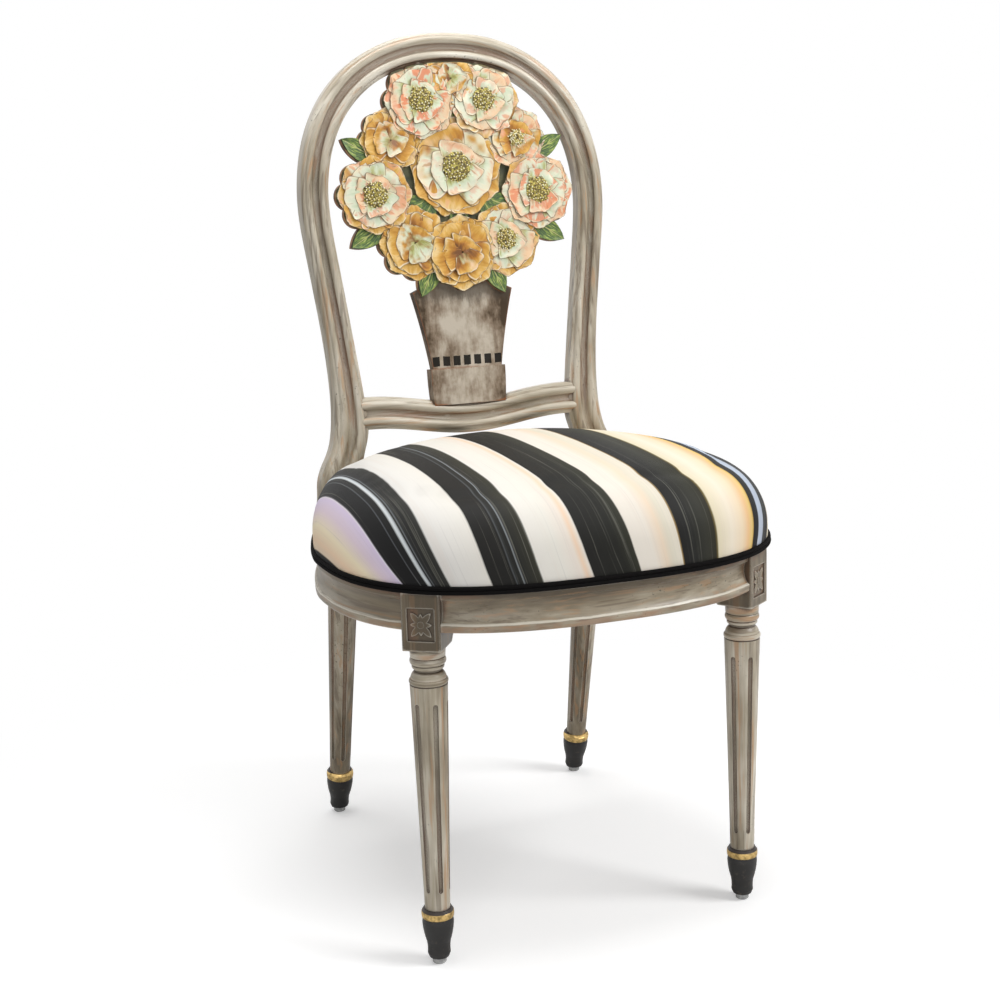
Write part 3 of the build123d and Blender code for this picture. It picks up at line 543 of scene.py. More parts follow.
def petal(x, height, turn, start, length, width, lift, curl, seed, pale=0.5, coral=0.0, pointed=False):
    """One petal or leaf: a grid shaped to its outline, cupped and ruffled, lying along a heading."""
    deselect_all()
    bpy.ops.mesh.primitive_grid_add(x_subdivisions=8, y_subdivisions=12, size=1.0)
    made = bpy.context.object
    for vertex in made.data.vertices:
        a = 2 * vertex.co.x
        b = vertex.co.y + 0.5
        if pointed:
            spread = sin(pi * min(1.0, 0.04 + 0.96 * b)) ** 0.8
            reach = b
        else:
            spread = 0.40 + 0.60 * sin(pi * min(1.0, 0.08 + 0.56 * b))
            spread *= sqrt(max(0.0, 1 - max(0.0, (b - 0.70) / 0.34) ** 2.4))
            reach = b - 0.16 * a * a * b ** 3 + 0.05 * b * noise.noise(Vector((3.0 * a, seed, 3.0)))
        ruffle = noise.noise(Vector((1.8 * a, 2.4 * b, seed)))
        side = 0.5 * width * a * spread * (1 + 0.10 * noise.noise(Vector((seed, 3 * b, a))))
        rise = lift + curl * (0.35 * b + 0.55 * a * a * b + 0.8 * ruffle * b)
        out = start + reach * length
        right = x + out * cos(turn) - side * sin(turn)
        up = height + out * sin(turn) + side * cos(turn)
        vertex.co = on_panel(right, up, PANEL_FACE + rise)
    for name, value in zip(PETAL_LAYERS, (pale, coral, 0.5 + 0.5 * sin(7.0 * seed))):
        layer = made.data.attributes.new(name, "FLOAT", "POINT")
        layer.data.foreach_set("value", [value] * len(made.data.vertices))
    return made


def join_pieces(parts, name, thickness):
    """Joins petals to one piece, thickens it and turns its faces outwards."""
    deselect_all()
    for part in parts:
        part.select_set(True)
    bpy.context.view_layer.objects.active = parts[0]
    bpy.ops.object.join()
    piece = bpy.context.object
    piece.name = name
    piece.data.name = name
    if thickness:
        solid = piece.modifiers.new("thickness", "SOLIDIFY")
        solid.thickness = thickness
        solid.offset = -1.0
        bpy.ops.object.modifier_apply(modifier="thickness")
    bpy.ops.object.mode_set(mode="EDIT")
    bpy.ops.mesh.select_all(action="SELECT")
    bpy.ops.mesh.normals_make_consistent(inside=False)
    bpy.ops.object.mode_set(mode="OBJECT")
    bpy.ops.object.shade_smooth_by_angle(angle=radians(50))
    return piece


PETAL_GOLD = [
    (0.08, (0.16, 0.055, 0.007)), (0.30, (0.38, 0.145, 0.014)), (0.55, (0.56, 0.265, 0.030)),
    (0.78, (0.70, 0.41, 0.085)), (0.97, (0.80, 0.58, 0.26)),
]
PETAL_CREAM = [
    (0.05, (0.32, 0.31, 0.08)), (0.26, (0.50, 0.52, 0.25)), (0.48, (0.62, 0.69, 0.50)),
    (0.72, (0.76, 0.77, 0.60)), (0.95, (0.82, 0.72, 0.50)),
]
LEAF_GREEN = [
    (0.36, (0.028, 0.058, 0.022)), (0.50, (0.09, 0.16, 0.04)),
    (0.62, (0.30, 0.38, 0.07)), (0.72, (0.55, 0.58, 0.22)),
]
PANEL_GREEN = [(0.35, (0.040, 0.045, 0.022)), (0.55, (0.10, 0.10, 0.045)), (0.70, (0.24, 0.21, 0.09))]
CUT_EDGE_BROWN = [(0.38, (0.10, 0.042, 0.016)), (0.50, (0.30, 0.13, 0.045)), (0.62, (0.52, 0.27, 0.10))]


def brush_vector(tree, across, along, lot, scales):
    """Coordinates for strokes on a petal, another stretch of them for each petal's lot."""
    pairs = zip((across, along, lot), scales)
    return combine(tree, *[product(tree, value, scale) for value, scale in pairs])


def petal_paint():
    """Petals brushed from a warm heart to a pale tip, some gold, some cream, flecked with coral, and
    darkened as painted shade where they lie close over one another.
    """
    material, tree, shader = new_material("petal_paint", 0.5)
    uv = add_node(tree, "ShaderNodeUVMap", uv_map="UVMap").outputs[0]
    across, along, _ = axes(tree, uv)
    layers = [add_node(tree, "ShaderNodeAttribute", attribute_name=name) for name in PETAL_LAYERS]
    pale, coral, lot = [layer.outputs["Fac"] for layer in layers]
    position = object_position(tree)
    clouds = noise_pattern(tree, position, 46.0, 3.0, 0.6)
    dabs_at = brush_vector(tree, across, along, lot, (2.4, 1.5, 40.0))
    dabs = noise_pattern(tree, dabs_at, 1.0, 2.0, 0.5)
    strokes_at = brush_vector(tree, across, along, lot, (9.0, 1.4, 31.0))
    strokes = noise_pattern(tree, strokes_at, 1.0, 4.0, 0.6)
    uneven = total(tree, along, product(tree, less(tree, strokes, 0.5), 0.9))
    uneven = total(tree, uneven, product(tree, less(tree, dabs, 0.5), 1.1))
    gold = colour_ramp(tree, uneven, PETAL_GOLD)
    cream = colour_ramp(tree, uneven, PETAL_CREAM)
    paler = total(tree, pale, product(tree, less(tree, dabs, 0.5), 1.3))
    is_cream = threshold(tree, paler, 0.34, 0.62)
    peach = product(tree, threshold(tree, lot, 0.55, 0.75), threshold(tree, uneven, 0.35, 0.80))
    cream = blend_colours(tree, product(tree, peach, 0.75), cream, (0.82, 0.50, 0.27))
    colour = blend_colours(tree, is_cream, gold, cream)
    fleck = total(tree, product(tree, dabs, 0.75), product(tree, strokes, 0.45))
    fleck = threshold(tree, total(tree, fleck, product(tree, coral, 0.12)), 0.68, 0.76)
    colour = blend_colours(tree, product(tree, fleck, coral, clamp=True), colour, (0.74, 0.21, 0.085))
    rose = product(tree, threshold(tree, clouds, 0.52, 0.68), product(tree, pale, 0.50))
    colour = blend_colours(tree, rose, colour, (0.70, 0.42, 0.28))
    from_root = less(tree, 0.85, product(tree, along, 0.55))
    vein = product(tree, threshold(tree, strokes, 0.60, 0.66), from_root)
    colour = blend_colours(tree, vein, colour, (0.36, 0.18, 0.04))
    from_middle = size_of(tree, less(tree, across, 0.5))
    near_side, near_tip = threshold(tree, from_middle, 0.43, 0.47), threshold(tree, along, 0.93, 0.97)
    rim = calculate(tree, "MAXIMUM", near_side, near_tip)
    rim = product(tree, rim, threshold(tree, dabs, 0.35, 0.55))
    colour = blend_colours(tree, product(tree, rim, 0.75), colour, (0.84, 0.76, 0.56))
    at_side, at_tip = threshold(tree, from_middle, 0.478, 0.492), threshold(tree, along, 0.978, 0.990)
    outline = calculate(tree, "MAXIMUM", at_side, at_tip)
    colour = blend_colours(tree, product(tree, outline, 0.80), colour, (0.20, 0.085, 0.02))
    # Painted shade: darker where petals lie close over one another.
    gap_shade = product(tree, threshold(tree, in_hollow(tree, 0.007, 6), 0.30, 0.80), 0.75)
    colour = blend_colours(tree, gap_shade, colour, (0.10, 0.06, 0.02))
    tree.links.new(colour, shader.inputs["Base Color"])
    add_bump(tree, shader, strokes, 0.4, 0.0006)
    return material


def leaf_paint():
    """Green of the leaves, paler yellow-green along the midrib, with yellow-green strokes."""
    material, tree, shader = new_material("leaf_paint", 0.45)
    uv = add_node(tree, "ShaderNodeUVMap", uv_map="UVMap").outputs[0]
    across, along, _ = axes(tree, uv)
    from_middle = size_of(tree, less(tree, across, 0.5))
    slant = less(tree, product(tree, along, 9.0), product(tree, from_middle, 9.0))
    strokes_at = combine(tree, product(tree, from_middle, 5.0), slant, 1.0)
    strokes = noise_pattern(tree, strokes_at, 1.6, 4.0, 0.6)
    colour = colour_ramp(tree, strokes, LEAF_GREEN)
    rib = inverse(tree, threshold(tree, from_middle, 0.012, 0.035))
    colour = blend_colours(tree, product(tree, rib, 0.8), colour, (0.55, 0.52, 0.20))
    tree.links.new(colour, shader.inputs["Base Color"])
    return material


flower_material = petal_paint()
leaf_material = leaf_paint()
panel_edge, tree, shader = new_material("panel_edge_paint", 0.6)
position = object_position(tree)
mottle = noise_pattern(tree, position, 60.0, 4.0, 0.6)
ground = colour_ramp(tree, mottle, PANEL_GREEN)
cut_edge = colour_ramp(tree, mottle, CUT_EDGE_BROWN)
on_face = threshold(tree, size_of(tree, facing_back(tree)), 0.85, 0.95)
tree.links.new(blend_colours(tree, on_face, cut_edge, ground), shader.inputs["Base Color"])
paint_nodes(panel_edge, "flower_panel")

seed = 1.0
for order, (x, height, radius, count, outer_pale, middle_pale, inner_pale, coral) in enumerate(BLOOMS):
    parts = []
    layer = bloom_layer(order)
    for ring, (lobes, offset, size, spread, lift, pale) in enumerate(
        (
            (count, 0.26, 0.74, 0.84, 0.0005, outer_pale),
            (5, 0.10, 0.74, 1.12, 0.0017, middle_pale),
            (3, 0.02, 0.52, 0.92, 0.0029, inner_pale),
        )
    ):
        for index in range(lobes):
            seed += SEED_STEP
            turn = radians(90) + 2 * pi * (index + 0.37 * ring) / lobes
            jitter = 0.22 * ring * noise.noise(Vector((seed, 0, 0)))
            reach = size * radius * (1 + 0.22 * ring * noise.noise(Vector((seed, 9, 0))))
            wide = spread * radius * (1 + 0.25 * noise.noise(Vector((seed, 13, 0))))
            tone = pale + 0.45 * noise.noise(Vector((seed, 5, 0)))
            lean = lift + layer + 0.0007 * (index % 2)
            way, begin = turn + jitter, offset * radius
            parts.append(petal(x, height, way, begin, reach, wide, lean, PETAL_CURL, seed, tone, coral))
    bloom = join_pieces(parts, f"bloom_{order + 1}", PETAL_THICKNESS)
    bloom.data.materials.append(flower_material)
    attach(bloom, "root")

leaves = []
for x, height, length, width, heading in LEAVES:
    seed += SEED_STEP
    turn = radians(heading)
    leaves.append(petal(x, height, turn, 0.0, length, width, LEAF_LIFT, LEAF_CURL, seed, pointed=True))
leaf_piece = join_pieces(leaves, "leaves", LEAF_THICKNESS)
leaf_piece.data.materials.append(leaf_material)
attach(leaf_piece, "root")

# Hearts of the open flowers. Each is a low green-gold boss of gesso ringed with pale stamens,
# which are beads laid from the middle outwards on a spiral.
HEARTS = ((0, 0.29), (1, 0.32), (2, 0.30), (4, 0.24), (5, 0.31), (6, 0.33), (8, 0.27))
BOSS_PROUD = 0.0056
BOSS_RISE = 0.0014
STAMENS = 64
STAMEN_TURN = radians(137.5)
STAMEN_RADIUS = 0.0011
STAMEN_PROUD = 0.0074
STAMEN_FALL = 0.0018


def dappled(name, scale, detail, grain, stops, roughness):
    """Paint or plastic of a few tones in a random dapple."""
    material, tree, shader = new_material(name, roughness)
    tint(tree, shader, noise_pattern(tree, object_position(tree), scale, detail, grain), stops)
    return material


HEART_GREEN = [(0.40, (0.055, 0.036, 0.010)), (0.52, (0.26, 0.20, 0.035)), (0.64, (0.56, 0.50, 0.11))]
STAMEN_GOLD = [(0.42, (0.66, 0.50, 0.14)), (0.54, (0.88, 0.84, 0.62))]
heart_material = dappled("heart_paint", 420.0, 3.0, 0.6, HEART_GREEN, 0.6)
stamen_material = dappled("stamen_paint", 260.0, 2.0, 0.5, STAMEN_GOLD, 0.5)
for order, size in HEARTS:
    x, height, radius = BLOOMS[order][:3]
    layer = bloom_layer(order)
    middle = on_panel(x, height, BOSS_PROUD + layer)
    deselect_all()
    bpy.ops.mesh.primitive_uv_sphere_add(segments=32, ring_count=12, radius=1.0, location=(0, 0, 0))
    boss = bpy.context.object
    for vertex in boss.data.vertices:
        wobble = 1 + 0.30 * noise.noise(vertex.co * 4 + Vector((order, 0, 0)))
        side = Vector((vertex.co.x, 0, 0)) + upward * vertex.co.y
        vertex.co = middle + side * size * radius * wobble + front * vertex.co.z * BOSS_RISE
    beads = []
    for index in range(STAMENS):
        turn = index * STAMEN_TURN
        ring_radius = (1.02 + 0.30 * (index % 3 == 0)) * size * radius * sqrt((index + 3.5) / 67)
        bpy.ops.mesh.primitive_ico_sphere_add(subdivisions=1, radius=STAMEN_RADIUS)
        bead = bpy.context.object
        proud = STAMEN_PROUD + layer - STAMEN_FALL * (index / STAMENS)
        place = on_panel(x + ring_radius * cos(turn), height + ring_radius * sin(turn), proud)
        bead.data.transform(Matrix.Translation(place))
        beads.append(bead)
    heart = join_pieces([boss], f"heart_{order + 1}", 0)
    heart.data.materials.append(heart_material)
    stamens = join_pieces(beads, f"stamens_{order + 1}", 0)
    stamens.data.materials.append(stamen_material)
    for piece in (heart, stamens):
        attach(piece, "root")

# Seat foam. One block of open-cell foam glued on the board and cut to the crown of the seat,
# hidden by the cover.
foam_material, tree, shader = new_material("seat_foam_cells", 0.9)
position = object_position(tree)
cells = add_node(tree, "ShaderNodeTexVoronoi", {0: position, 2: 700.0}).outputs[0]
tint(tree, shader, cells, [(0.1, (0.52, 0.46, 0.26)), (0.6, (0.74, 0.69, 0.46))])
paint_nodes(foam_material, "seat_foam")

# Seat cover. Broad black and ivory stripes on plain cotton, stretched over a full pad and tacked
# to the rails. They lie a little askew, and follow the cloth down over the edge.
HALF_WIDTH = 0.2550
FRONT_REACH = 0.2245
REAR_REACH = 0.4605
FRONT_POWER = 2.7
REAR_POWER = 1.42
SEAT_BACK_Y = 0.1835
SEAT_LEDGE = 0.4135
CROWN_TOP = 0.5315
CROWN_RADIUS = 0.765
CROWN_MIDDLE_Y = -0.047
EDGE_RADIUS = 0.060
NOTCH_X = 0.144
NOTCH_Y = 0.138
CLOTH_GRID = 0.0055
TACK_HEIGHT = 0.426
FILL_FRAMES = 18
THREADS = 9000.0
CROWN_END = 0.55
EDGE_END = 0.84


def seat_edge(bearing, grow=0.0):
    """Plan radius of the seat at a bearing, measured from its middle."""
    c, s = cos(bearing), sin(bearing)
    reach, power = (FRONT_REACH, FRONT_POWER) if s < 0 else (REAR_REACH, REAR_POWER)
    radius = (abs(c / (HALF_WIDTH + grow)) ** power + abs(s / (reach + grow)) ** power) ** (-1 / power)
    if s > 0:
        radius = min(radius, (SEAT_BACK_Y + grow - SEAT_MIDDLE_Y) / s)
    return radius


def crown_height(x, y):
    """Height of the crown above the floor, before its edge is rounded."""
    return CROWN_TOP - CROWN_RADIUS + sqrt(CROWN_RADIUS ** 2 - x * x - (y - CROWN_MIDDLE_Y) ** 2)


deselect_all()
bpy.ops.mesh.primitive_uv_sphere_add(segments=144, ring_count=96, radius=1.0)
cover = bpy.context.object
cover.name = "striped_cover"
bpy.ops.object.mode_set(mode="EDIT")
bpy.ops.mesh.select_all(action="DESELECT")
shell = bmesh.from_edit_mesh(cover.data)
for vertex in shell.verts:
    vertex.select = vertex.co.z < -0.001
shell.select_flush(True)
bmesh.update_edit_mesh(cover.data)
bpy.ops.mesh.delete(type="VERT")
bpy.ops.mesh.select_all(action="SELECT")
bpy.ops.mesh.region_to_loop()
bpy.ops.mesh.edge_face_add()
bpy.ops.object.mode_set(mode="OBJECT")
SLACK = 0.0015
SEAM_DROP = 0.006
for vertex in cover.data.vertices:
    bearing = atan2(vertex.co.y, vertex.co.x)
    toward = Vector((cos(bearing), sin(bearing), 0))
    fraction = degrees(atan2(hypot(vertex.co.x, vertex.co.y), vertex.co.z)) / 90
    edge = seat_edge(bearing) - SLACK
    ball = toward * (edge - EDGE_RADIUS) + Vector((0, SEAT_MIDDLE_Y, 0))
    off_crown = hypot(ball.x, ball.y - CROWN_MIDDLE_Y)
    ball.z = CROWN_TOP - CROWN_RADIUS + sqrt((CROWN_RADIUS - EDGE_RADIUS - SLACK) ** 2 - off_crown ** 2)
    first_swing = asin(off_crown / (CROWN_RADIUS - EDGE_RADIUS))
    if fraction < CROWN_END:
        touch = edge - EDGE_RADIUS * (1 - sin(first_swing))
        place = toward * touch * fraction / CROWN_END + Vector((0, SEAT_MIDDLE_Y, 0))
        place.z = crown_height(place.x, place.y) - SLACK
    elif fraction < EDGE_END:
        swing = first_swing + (radians(90) - first_swing) * (fraction - CROWN_END) / 0.29
        place = ball + EDGE_RADIUS * (toward * sin(swing) + Vector((0, 0, cos(swing))))
    else:
        down = (fraction - EDGE_END) / 0.16
        place = toward * edge + Vector((0, SEAT_MIDDLE_Y, 0))
        place.z = ball.z + (SEAT_LEDGE - SEAM_DROP - ball.z) * down
    place += toward * 1.7 * SLACK * max(0.0, min(1.0, (fraction - 0.74) / 0.12))
    vertex.co = place
for side in (-1, 1):
    deselect_all()
    bpy.ops.mesh.primitive_cube_add(size=1.0, location=(side * (NOTCH_X + 0.1), NOTCH_Y + 0.1, 0.47))
    notch = bpy.context.object
    notch.scale = (0.2, 0.2, 0.3)
    bpy.ops.object.transform_apply(location=True, rotation=True, scale=True)
    bpy.context.view_layer.objects.active = cover
    cut = cover.modifiers.new("notch", "BOOLEAN")
    cut.operation = "DIFFERENCE"
    cut.solver = "EXACT"
    cut.object = notch
    bpy.ops.object.modifier_apply(modifier="notch")
    bpy.data.objects.remove(notch)
deselect_all()
cover.select_set(True)
bpy.context.view_layer.objects.active = cover
remesh = cover.modifiers.new("even", "REMESH")
remesh.mode = "VOXEL"
remesh.voxel_size = CLOTH_GRID
bpy.ops.object.modifier_apply(modifier="even")
smooth = cover.modifiers.new("ease", "SMOOTH")
smooth.factor = 0.5
smooth.iterations = 3
bpy.ops.object.modifier_apply(modifier="ease")
start = [(vertex.co.copy(), vertex.normal.copy()) for vertex in cover.data.vertices]
held = cover.vertex_groups.new(name="tacked")
held.add([v.index for v in cover.data.vertices if v.co.z < TACK_HEIGHT], 1.0, "REPLACE")
cloth = cover.modifiers.new("fill", "CLOTH")
cloth.settings.quality = 5
cloth.settings.mass = 0.3
cloth.settings.tension_stiffness = 18
cloth.settings.compression_stiffness = 12
cloth.settings.bending_stiffness = 0.8
cloth.settings.use_pressure = True
cloth.settings.uniform_pressure_force = 3.5
cloth.settings.vertex_group_mass = "tacked"
cloth.settings.effector_weights.gravity = 0
for step in range(1, FILL_FRAMES + 1):
    bpy.context.scene.frame_set(step)
bpy.ops.object.modifier_apply(modifier="fill")
bpy.context.scene.frame_set(1)
SWELL = 0.0045
for vertex, (before, outward) in zip(cover.data.vertices, start):
    move = vertex.co - before
    move -= outward * min(0.0, move.dot(outward))
    vertex.co = before + move * min(1.0, SWELL / max(move.length, 0.00001))
smooth = cover.modifiers.new("ease", "SMOOTH")
smooth.factor = 0.5
smooth.iterations = 4
bpy.ops.object.modifier_apply(modifier="ease")
finer = cover.modifiers.new("finer", "SUBSURF")
finer.levels = 1
finer.render_levels = 1
bpy.ops.object.modifier_apply(modifier="finer")
for vertex in cover.data.vertices:
    vertex.co.z = max(vertex.co.z, SEAT_LEDGE)
bpy.ops.object.shade_smooth()

cloth_map = cover.data.uv_layers.new(name="cloth")
laid = []
for vertex in cover.data.vertices:
    x, y = vertex.co.x, vertex.co.y - SEAT_MIDDLE_Y
    reach, power = (FRONT_REACH, FRONT_POWER) if y < 0 else (REAR_REACH, REAR_POWER)
    out = Vector((abs(x / HALF_WIDTH) ** (power - 1) / HALF_WIDTH, abs(y / reach) ** (power - 1) / reach))
    out = Vector((out.x if x > 0 else -out.x, out.y if y > 0 else -out.y)).normalized()
    drop = max(0.0, crown_height(x, vertex.co.y) - vertex.co.z)
    if drop < EDGE_RADIUS:
        swing = acos(1 - drop / EDGE_RADIUS)
        extra = EDGE_RADIUS * (swing - sin(swing))
    else:
        extra = drop - EDGE_RADIUS * (2 - pi / 2)
    u, v = x + out.x * extra, y + out.y * extra
    skew = max(0.0, min(1.2, (u + 0.190) / 0.170))
    laid.append((u + skew * (0.14 * (v + 0.120) - 0.55 * (v + 0.120) ** 2), v))
for loop in cover.data.loops:
    cloth_map.data[loop.index].uv = laid[loop.vertex_index]


def linear(red, green, blue):
    """Linear colour from 8-bit paint values."""
    return tuple(
        ((v / 255 + 0.055) / 1.055) ** 2.4 if v > 10 else v / 255 / 12.92 for v in (red, green, blue)
    )


def stripe_ramp(tree, place, bands, low, high):
    """Ramp over the width of the cloth, from (millimetres, 8-bit colour) pairs."""
    stops = [((edge - low) / (high - low), linear(*colour)) for edge, colour in bands]
    share = calculate(tree, "DIVIDE", less(tree, place, low / 1000), (high - low) / 1000)
    return colour_ramp(tree, share, stops)


# Millimetres across the cloth with the paint there, in three ramps of at most 32 stops.
LEFT_STRIPES = [
    (-290, (14, 14, 15)), (-288.5, (236, 214, 188)), (-280, (246, 216, 184)), (-266, (248, 234, 202)),
    (-252, (228, 210, 220)), (-240, (222, 208, 232)), (-238.4, (236, 230, 240)), (-237.6, (24, 23, 24)),
    (-221, (16, 16, 16)), (-220.2, (84, 87, 90)), (-219.2, (22, 22, 22)), (-213.5, (24, 24, 24)),
    (-212.7, (214, 219, 220)), (-209.8, (196, 202, 206)), (-209.2, (34, 34, 34)), (-207.4, (38, 38, 38)),
    (-206.8, (120, 124, 126)), (-206, (36, 36, 36)), (-200, (34, 34, 33)), (-190.6, (46, 46, 43)),
    (-189.8, (224, 222, 217)), (-176, (229, 226, 220)), (-152, (228, 224, 215)), (-150.8, (26, 25, 23)),
    (-130, (26, 25, 23)), (-129.4, (92, 96, 98)), (-128.6, (32, 32, 30)), (-124, (30, 30, 28)),
    (-123.4, (142, 147, 150)), (-122.4, (32, 32, 30)), (-107, (50, 49, 40)), (-105.8, (228, 225, 217)),
]
MIDDLE_STRIPES = [
    (-106, (226, 222, 214)), (-84, (226, 222, 212)), (-70, (228, 217, 205)), (-66, (232, 204, 176)),
    (-61.2, (226, 219, 209)), (-60.2, (24, 23, 21)), (-30, (28, 28, 24)), (-14.5, (46, 46, 37)),
    (-13.5, (224, 217, 206)), (8, (226, 218, 206)), (22, (226, 207, 184)), (30, (214, 207, 188)),
    (43, (220, 213, 198)), (44.2, (150, 122, 70)), (46, (22, 21, 20)), (60, (26, 26, 25)),
]
RIGHT_STRIPES = [
    (60, (26, 26, 25)), (84, (44, 44, 37)), (98, (40, 38, 27)), (101, (112, 98, 58)),
    (102.5, (214, 204, 176)), (128, (228, 217, 198)), (150, (228, 208, 178)), (164, (224, 184, 136)),
    (172, (218, 188, 116)), (175.5, (196, 160, 88)), (176.8, (20, 20, 20)), (190, (24, 24, 26)),
    (191.5, (176, 186, 202)), (206, (170, 178, 190)), (207.5, (26, 27, 30)), (232, (34, 34, 34)),
    (234, (212, 202, 178)), (262, (218, 206, 186)), (264, (28, 28, 28)), (300, (34, 34, 31)),
]
striped_cloth, tree, shader = new_material("striped_cotton", 0.62, 0.18)
uv = add_node(tree, "ShaderNodeUVMap", uv_map="cloth").outputs[0]
breadth, run, _ = axes(tree, uv)
slow = scaled(tree, uv, (16, 7, 1))
sway = noise_pattern(tree, slow, 1.0, 2.0)
place = total(tree, breadth, product(tree, less(tree, sway, 0.5), 0.004))
brush = scaled(tree, uv, (520, 3, 1))
bristle = noise_pattern(tree, brush, 1.0, 5.0, 0.7)
broad = scaled(tree, uv, (95, 3, 1))
drag = noise_pattern(tree, broad, 1.0, 3.0, 0.6)
left = stripe_ramp(tree, place, LEFT_STRIPES, -330, -105)
middle = stripe_ramp(tree, place, MIDDLE_STRIPES, -110, 60)
right = stripe_ramp(tree, place, RIGHT_STRIPES, 50, 300)
colour = blend_colours(tree, calculate(tree, "GREATER_THAN", place, -0.1055), left, middle)
colour = blend_colours(tree, calculate(tree, "GREATER_THAN", place, 0.060), colour, right)
value = add_node(tree, "ShaderNodeRGBToBW", {0: colour}).outputs[0]
is_pale = threshold(tree, value, 0.25, 0.5)
streak = threshold(tree, bristle, 0.53, 0.64)
on_black = product(tree, streak, inverse(tree, is_pale))
dark_streak = product(tree, on_black, product(tree, threshold(tree, drag, 0.44, 0.60), 0.55))
colour = blend_colours(tree, dark_streak, colour, (0.165, 0.163, 0.135))
wide_streak = product(tree, product(tree, threshold(tree, drag, 0.52, 0.68), is_pale), 0.16)
colour = blend_colours(tree, wide_streak, colour, (0.70, 0.58, 0.50))
fine_streak = product(tree, product(tree, threshold(tree, bristle, 0.56, 0.70), is_pale), 0.42)
colour = blend_colours(tree, fine_streak, colour, (0.46, 0.44, 0.42))
tree.links.new(colour, shader.inputs["Base Color"])
warp = calculate(tree, "SINE", product(tree, breadth, THREADS))
weft = calculate(tree, "SINE", product(tree, run, THREADS))
weave = product(tree, warp, weft)
add_bump(tree, shader, weave, 0.12, 0.0002)
cover.data.materials.append(striped_cloth)
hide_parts("seat_cover")
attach(cover, "root")

# Double welt. Two cords sewn side by side in black twill and glued over the cover's raw edge,
# one run round the front and sides and one between the rear legs.
CORD_RADIUS = 0.0024
black_cloth, tree, shader = new_material("black_twill", 0.9, 0.08)
position = object_position(tree)
waves = {0: position, 1: 900.0, 2: 1.5, 3: 2.0}
ribs = add_node(tree, "ShaderNodeTexWave", waves, wave_type="BANDS", bands_direction="DIAGONAL")
twill = ribs.outputs[1]
tint(tree, shader, twill, [(0.2, (0.002, 0.002, 0.002)), (0.8, (0.007, 0.006, 0.006))])
add_bump(tree, shader, twill, 0.3, 0.0002)


def welt_run(name, first, last, count, proud, height):
    """One cord of the welt between two bearings round the seat."""
    line = bpy.data.curves.new(name, "CURVE")
    line.dimensions = "3D"
    line.bevel_depth = CORD_RADIUS
    line.bevel_resolution = 4
    line.use_fill_caps = True
    spline = line.splines.new("POLY")
    spline.points.add(count - 1)
    for index in range(count):
        bearing = radians(first + (last - first) * index / (count - 1))
        radius = seat_edge(bearing, proud)
        spline.points[index].co = (radius * cos(bearing), SEAT_MIDDLE_Y + radius * sin(bearing), height, 1)
    made = bpy.data.objects.new(name, line)
    bpy.context.scene.collection.objects.link(made)
    deselect_all()
    made.select_set(True)
    bpy.context.view_layer.objects.active = made
    bpy.ops.object.convert(target="MESH")
    return bpy.context.object


front_end = degrees(atan2(NOTCH_Y - SEAT_MIDDLE_Y - 0.001, 0.2325))
rear_end = degrees(atan2(SEAT_BACK_Y - SEAT_MIDDLE_Y, NOTCH_X - 0.004))
cords = []
LOWER_CORD = (SEAT_LEDGE + CORD_RADIUS - 0.0002, 0.0020)
UPPER_CORD = (SEAT_LEDGE + 3 * CORD_RADIUS - 0.0007, 0.0016)
for height, proud in (LOWER_CORD, UPPER_CORD):
    cords.append(welt_run("cord_round", -180 - front_end, front_end, 220, proud, height))
    cords.append(welt_run("cord_rear", rear_end, 180 - rear_end, 40, proud, height))
welt = join_pieces(cords, "double_welt", 0)
welt.data.materials.append(black_cloth)
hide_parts("seat_welt")
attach(welt, "root")

# Dust cover. Thin black cloth stapled under the board, inside the rails, and cut from the same
# cloth as the welt.
paint_nodes(black_cloth, "dust_cover")

# Feet, rings and glides. Turned feet in satin black paint, aged gilt collars threaded on the
# spigots above them, and grey nylon glides nailed up into the feet.
foot_black, tree, shader = new_material("satin_black_paint")
position = object_position(tree)
scuff = noise_pattern(tree, position, 160.0, 5.0, 0.65)
tint(tree, shader, scuff, [(0.58, (0.010, 0.009, 0.008)), (0.72, (0.050, 0.040, 0.030))])
span = add_node(tree, "ShaderNodeMapRange", {0: scuff, 1: 0.3, 2: 0.7, 3: 0.30, 4: 0.55})
tree.links.new(span.outputs[0], shader.inputs["Roughness"])
add_bump(tree, shader, scuff, 0.15, 0.0003)
paint_nodes(foot_black, "foot_front_left", "foot_front_right", "foot_rear_left", "foot_rear_right")
RING_TOP_Z = 0.0600
gilt = metal("aged_gilt", (0.72, 0.50, 0.20), 0.30, 0.50, 180.0)
tree, shader = gilt.node_tree, gilt.node_tree.nodes["Principled BSDF"]
height = axes(tree, object_position(tree))[2]
shoulder = threshold(tree, height, RING_TOP_Z, RING_TOP_Z + 0.0006)
gold = shader.inputs["Base Color"].links[0].from_socket
tree.links.new(blend_colours(tree, shoulder, gold, (0.022, 0.013, 0.009)), shader.inputs["Base Color"])
tree.links.new(inverse(tree, shoulder), shader.inputs["Metallic"])
paint_nodes(gilt, "gilt_rings")
NYLON_GREY = [(0.4, (0.36, 0.36, 0.36)), (0.6, (0.50, 0.50, 0.49))]
paint_nodes(dappled("grey_nylon", 300.0, 3.0, 0.5, NYLON_GREY, 0.45), "glides")

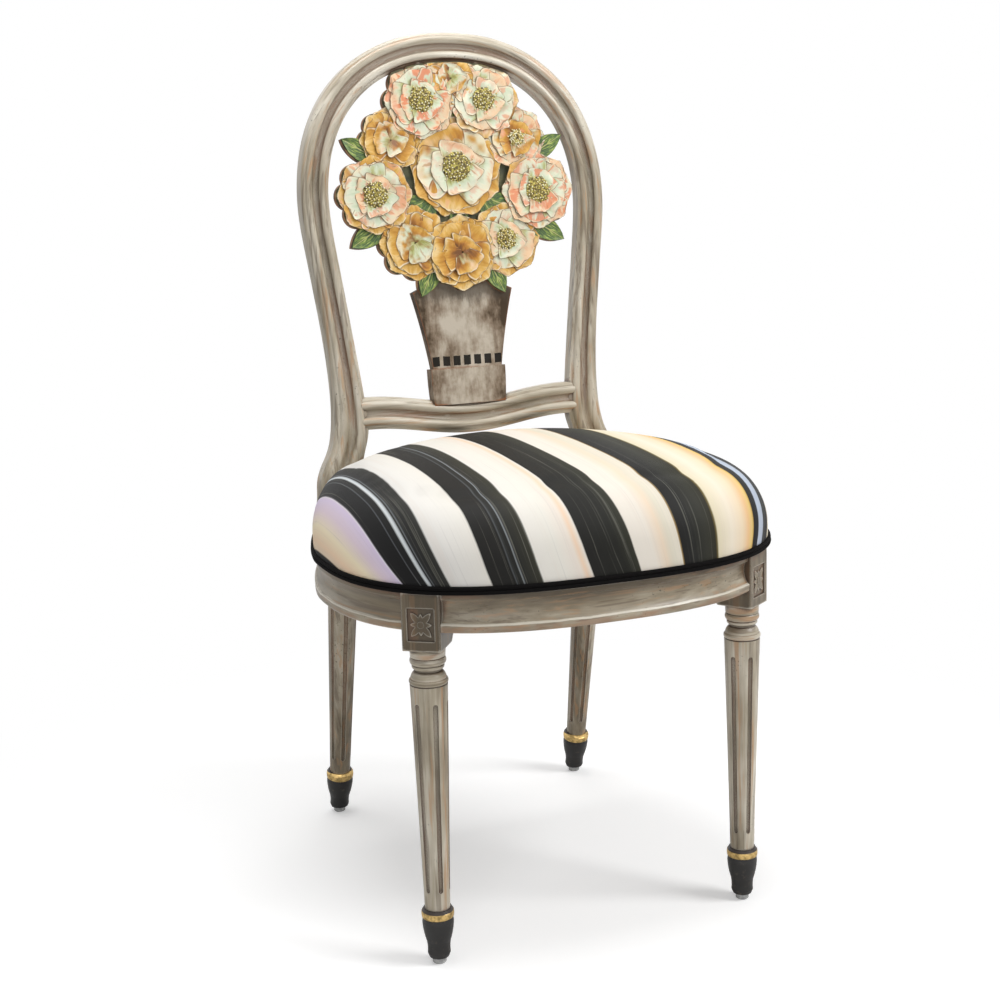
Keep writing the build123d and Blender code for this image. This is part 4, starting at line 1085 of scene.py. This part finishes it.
# Floor and light. A pale sweep that fades to white, a large soft lamp from the right front,
# a weaker one from the left and one overhead.
deselect_all()
bpy.ops.mesh.primitive_plane_add(size=14.0, location=(0, 0, 0))
floor = bpy.context.object
floor.name = "floor"
floor_white, tree, shader = new_material("floor_white", 0.8, 0.1)
shader.inputs["Base Color"].default_value = (0.90, 0.90, 0.90, 1.0)
seen = add_node(tree, "ShaderNodeLightPath").outputs["Is Camera Ray"]
glow = add_node(tree, "ShaderNodeEmission", {0: (1, 1, 1, 1), 1: product(tree, seen, 0.34)})
near = add_node(tree, "ShaderNodeAddShader", {0: shader.outputs[0], 1: glow.outputs[0]}).outputs[0]
white = add_node(tree, "ShaderNodeEmission", {0: (1, 1, 1, 1), 1: 1.0}).outputs[0]
place = object_position(tree)
away = add_node(tree, "ShaderNodeVectorMath", {0: place}, operation="LENGTH").outputs["Value"]
fade = product(tree, seen, threshold(tree, away, 0.35, 0.95))
sweep = add_node(tree, "ShaderNodeMixShader", {0: fade, 1: near, 2: white}).outputs[0]
tree.links.new(sweep, tree.nodes["Material Output"].inputs["Surface"])
floor.data.materials.append(floor_white)


def soft_lamp(name, place, target, size, power):
    """Square soft lamp turned to a point."""
    light = bpy.data.lights.new(name, "AREA")
    light.size = size
    light.energy = power
    lamp = bpy.data.objects.new(name, light)
    bpy.context.scene.collection.objects.link(lamp)
    lamp.location = place
    lamp.rotation_euler = (Vector(target) - Vector(place)).to_track_quat("-Z", "Y").to_euler()


soft_lamp("key_lamp", (1.7, -1.4, 2.3), (0, 0, 0.5), 1.0, 44)
soft_lamp("fill_lamp", (-1.2, -2.8, 1.2), (0, 0, 0.5), 1.6, 12)
soft_lamp("top_lamp", (-0.2, 0.0, 2.5), (0, 0, 0.4), 1.2, 30)
world = bpy.data.worlds.new("studio")
bpy.context.scene.world = world
world.use_nodes = True
tree = world.node_tree
background = tree.nodes["Background"]
path = add_node(tree, "ShaderNodeLightPath").outputs
mirrored = calculate(tree, "MAXIMUM", path["Is Glossy Ray"], path["Is Transmission Ray"])
plain = calculate(tree, "MAXIMUM", path["Is Camera Ray"], mirrored)
background.inputs["Color"].default_value = (1, 1, 1, 1)
strength = total(tree, product(tree, plain, 0.70), 0.30)
tree.links.new(strength, background.inputs["Strength"])
bpy.context.scene.view_settings.view_transform = "Standard"
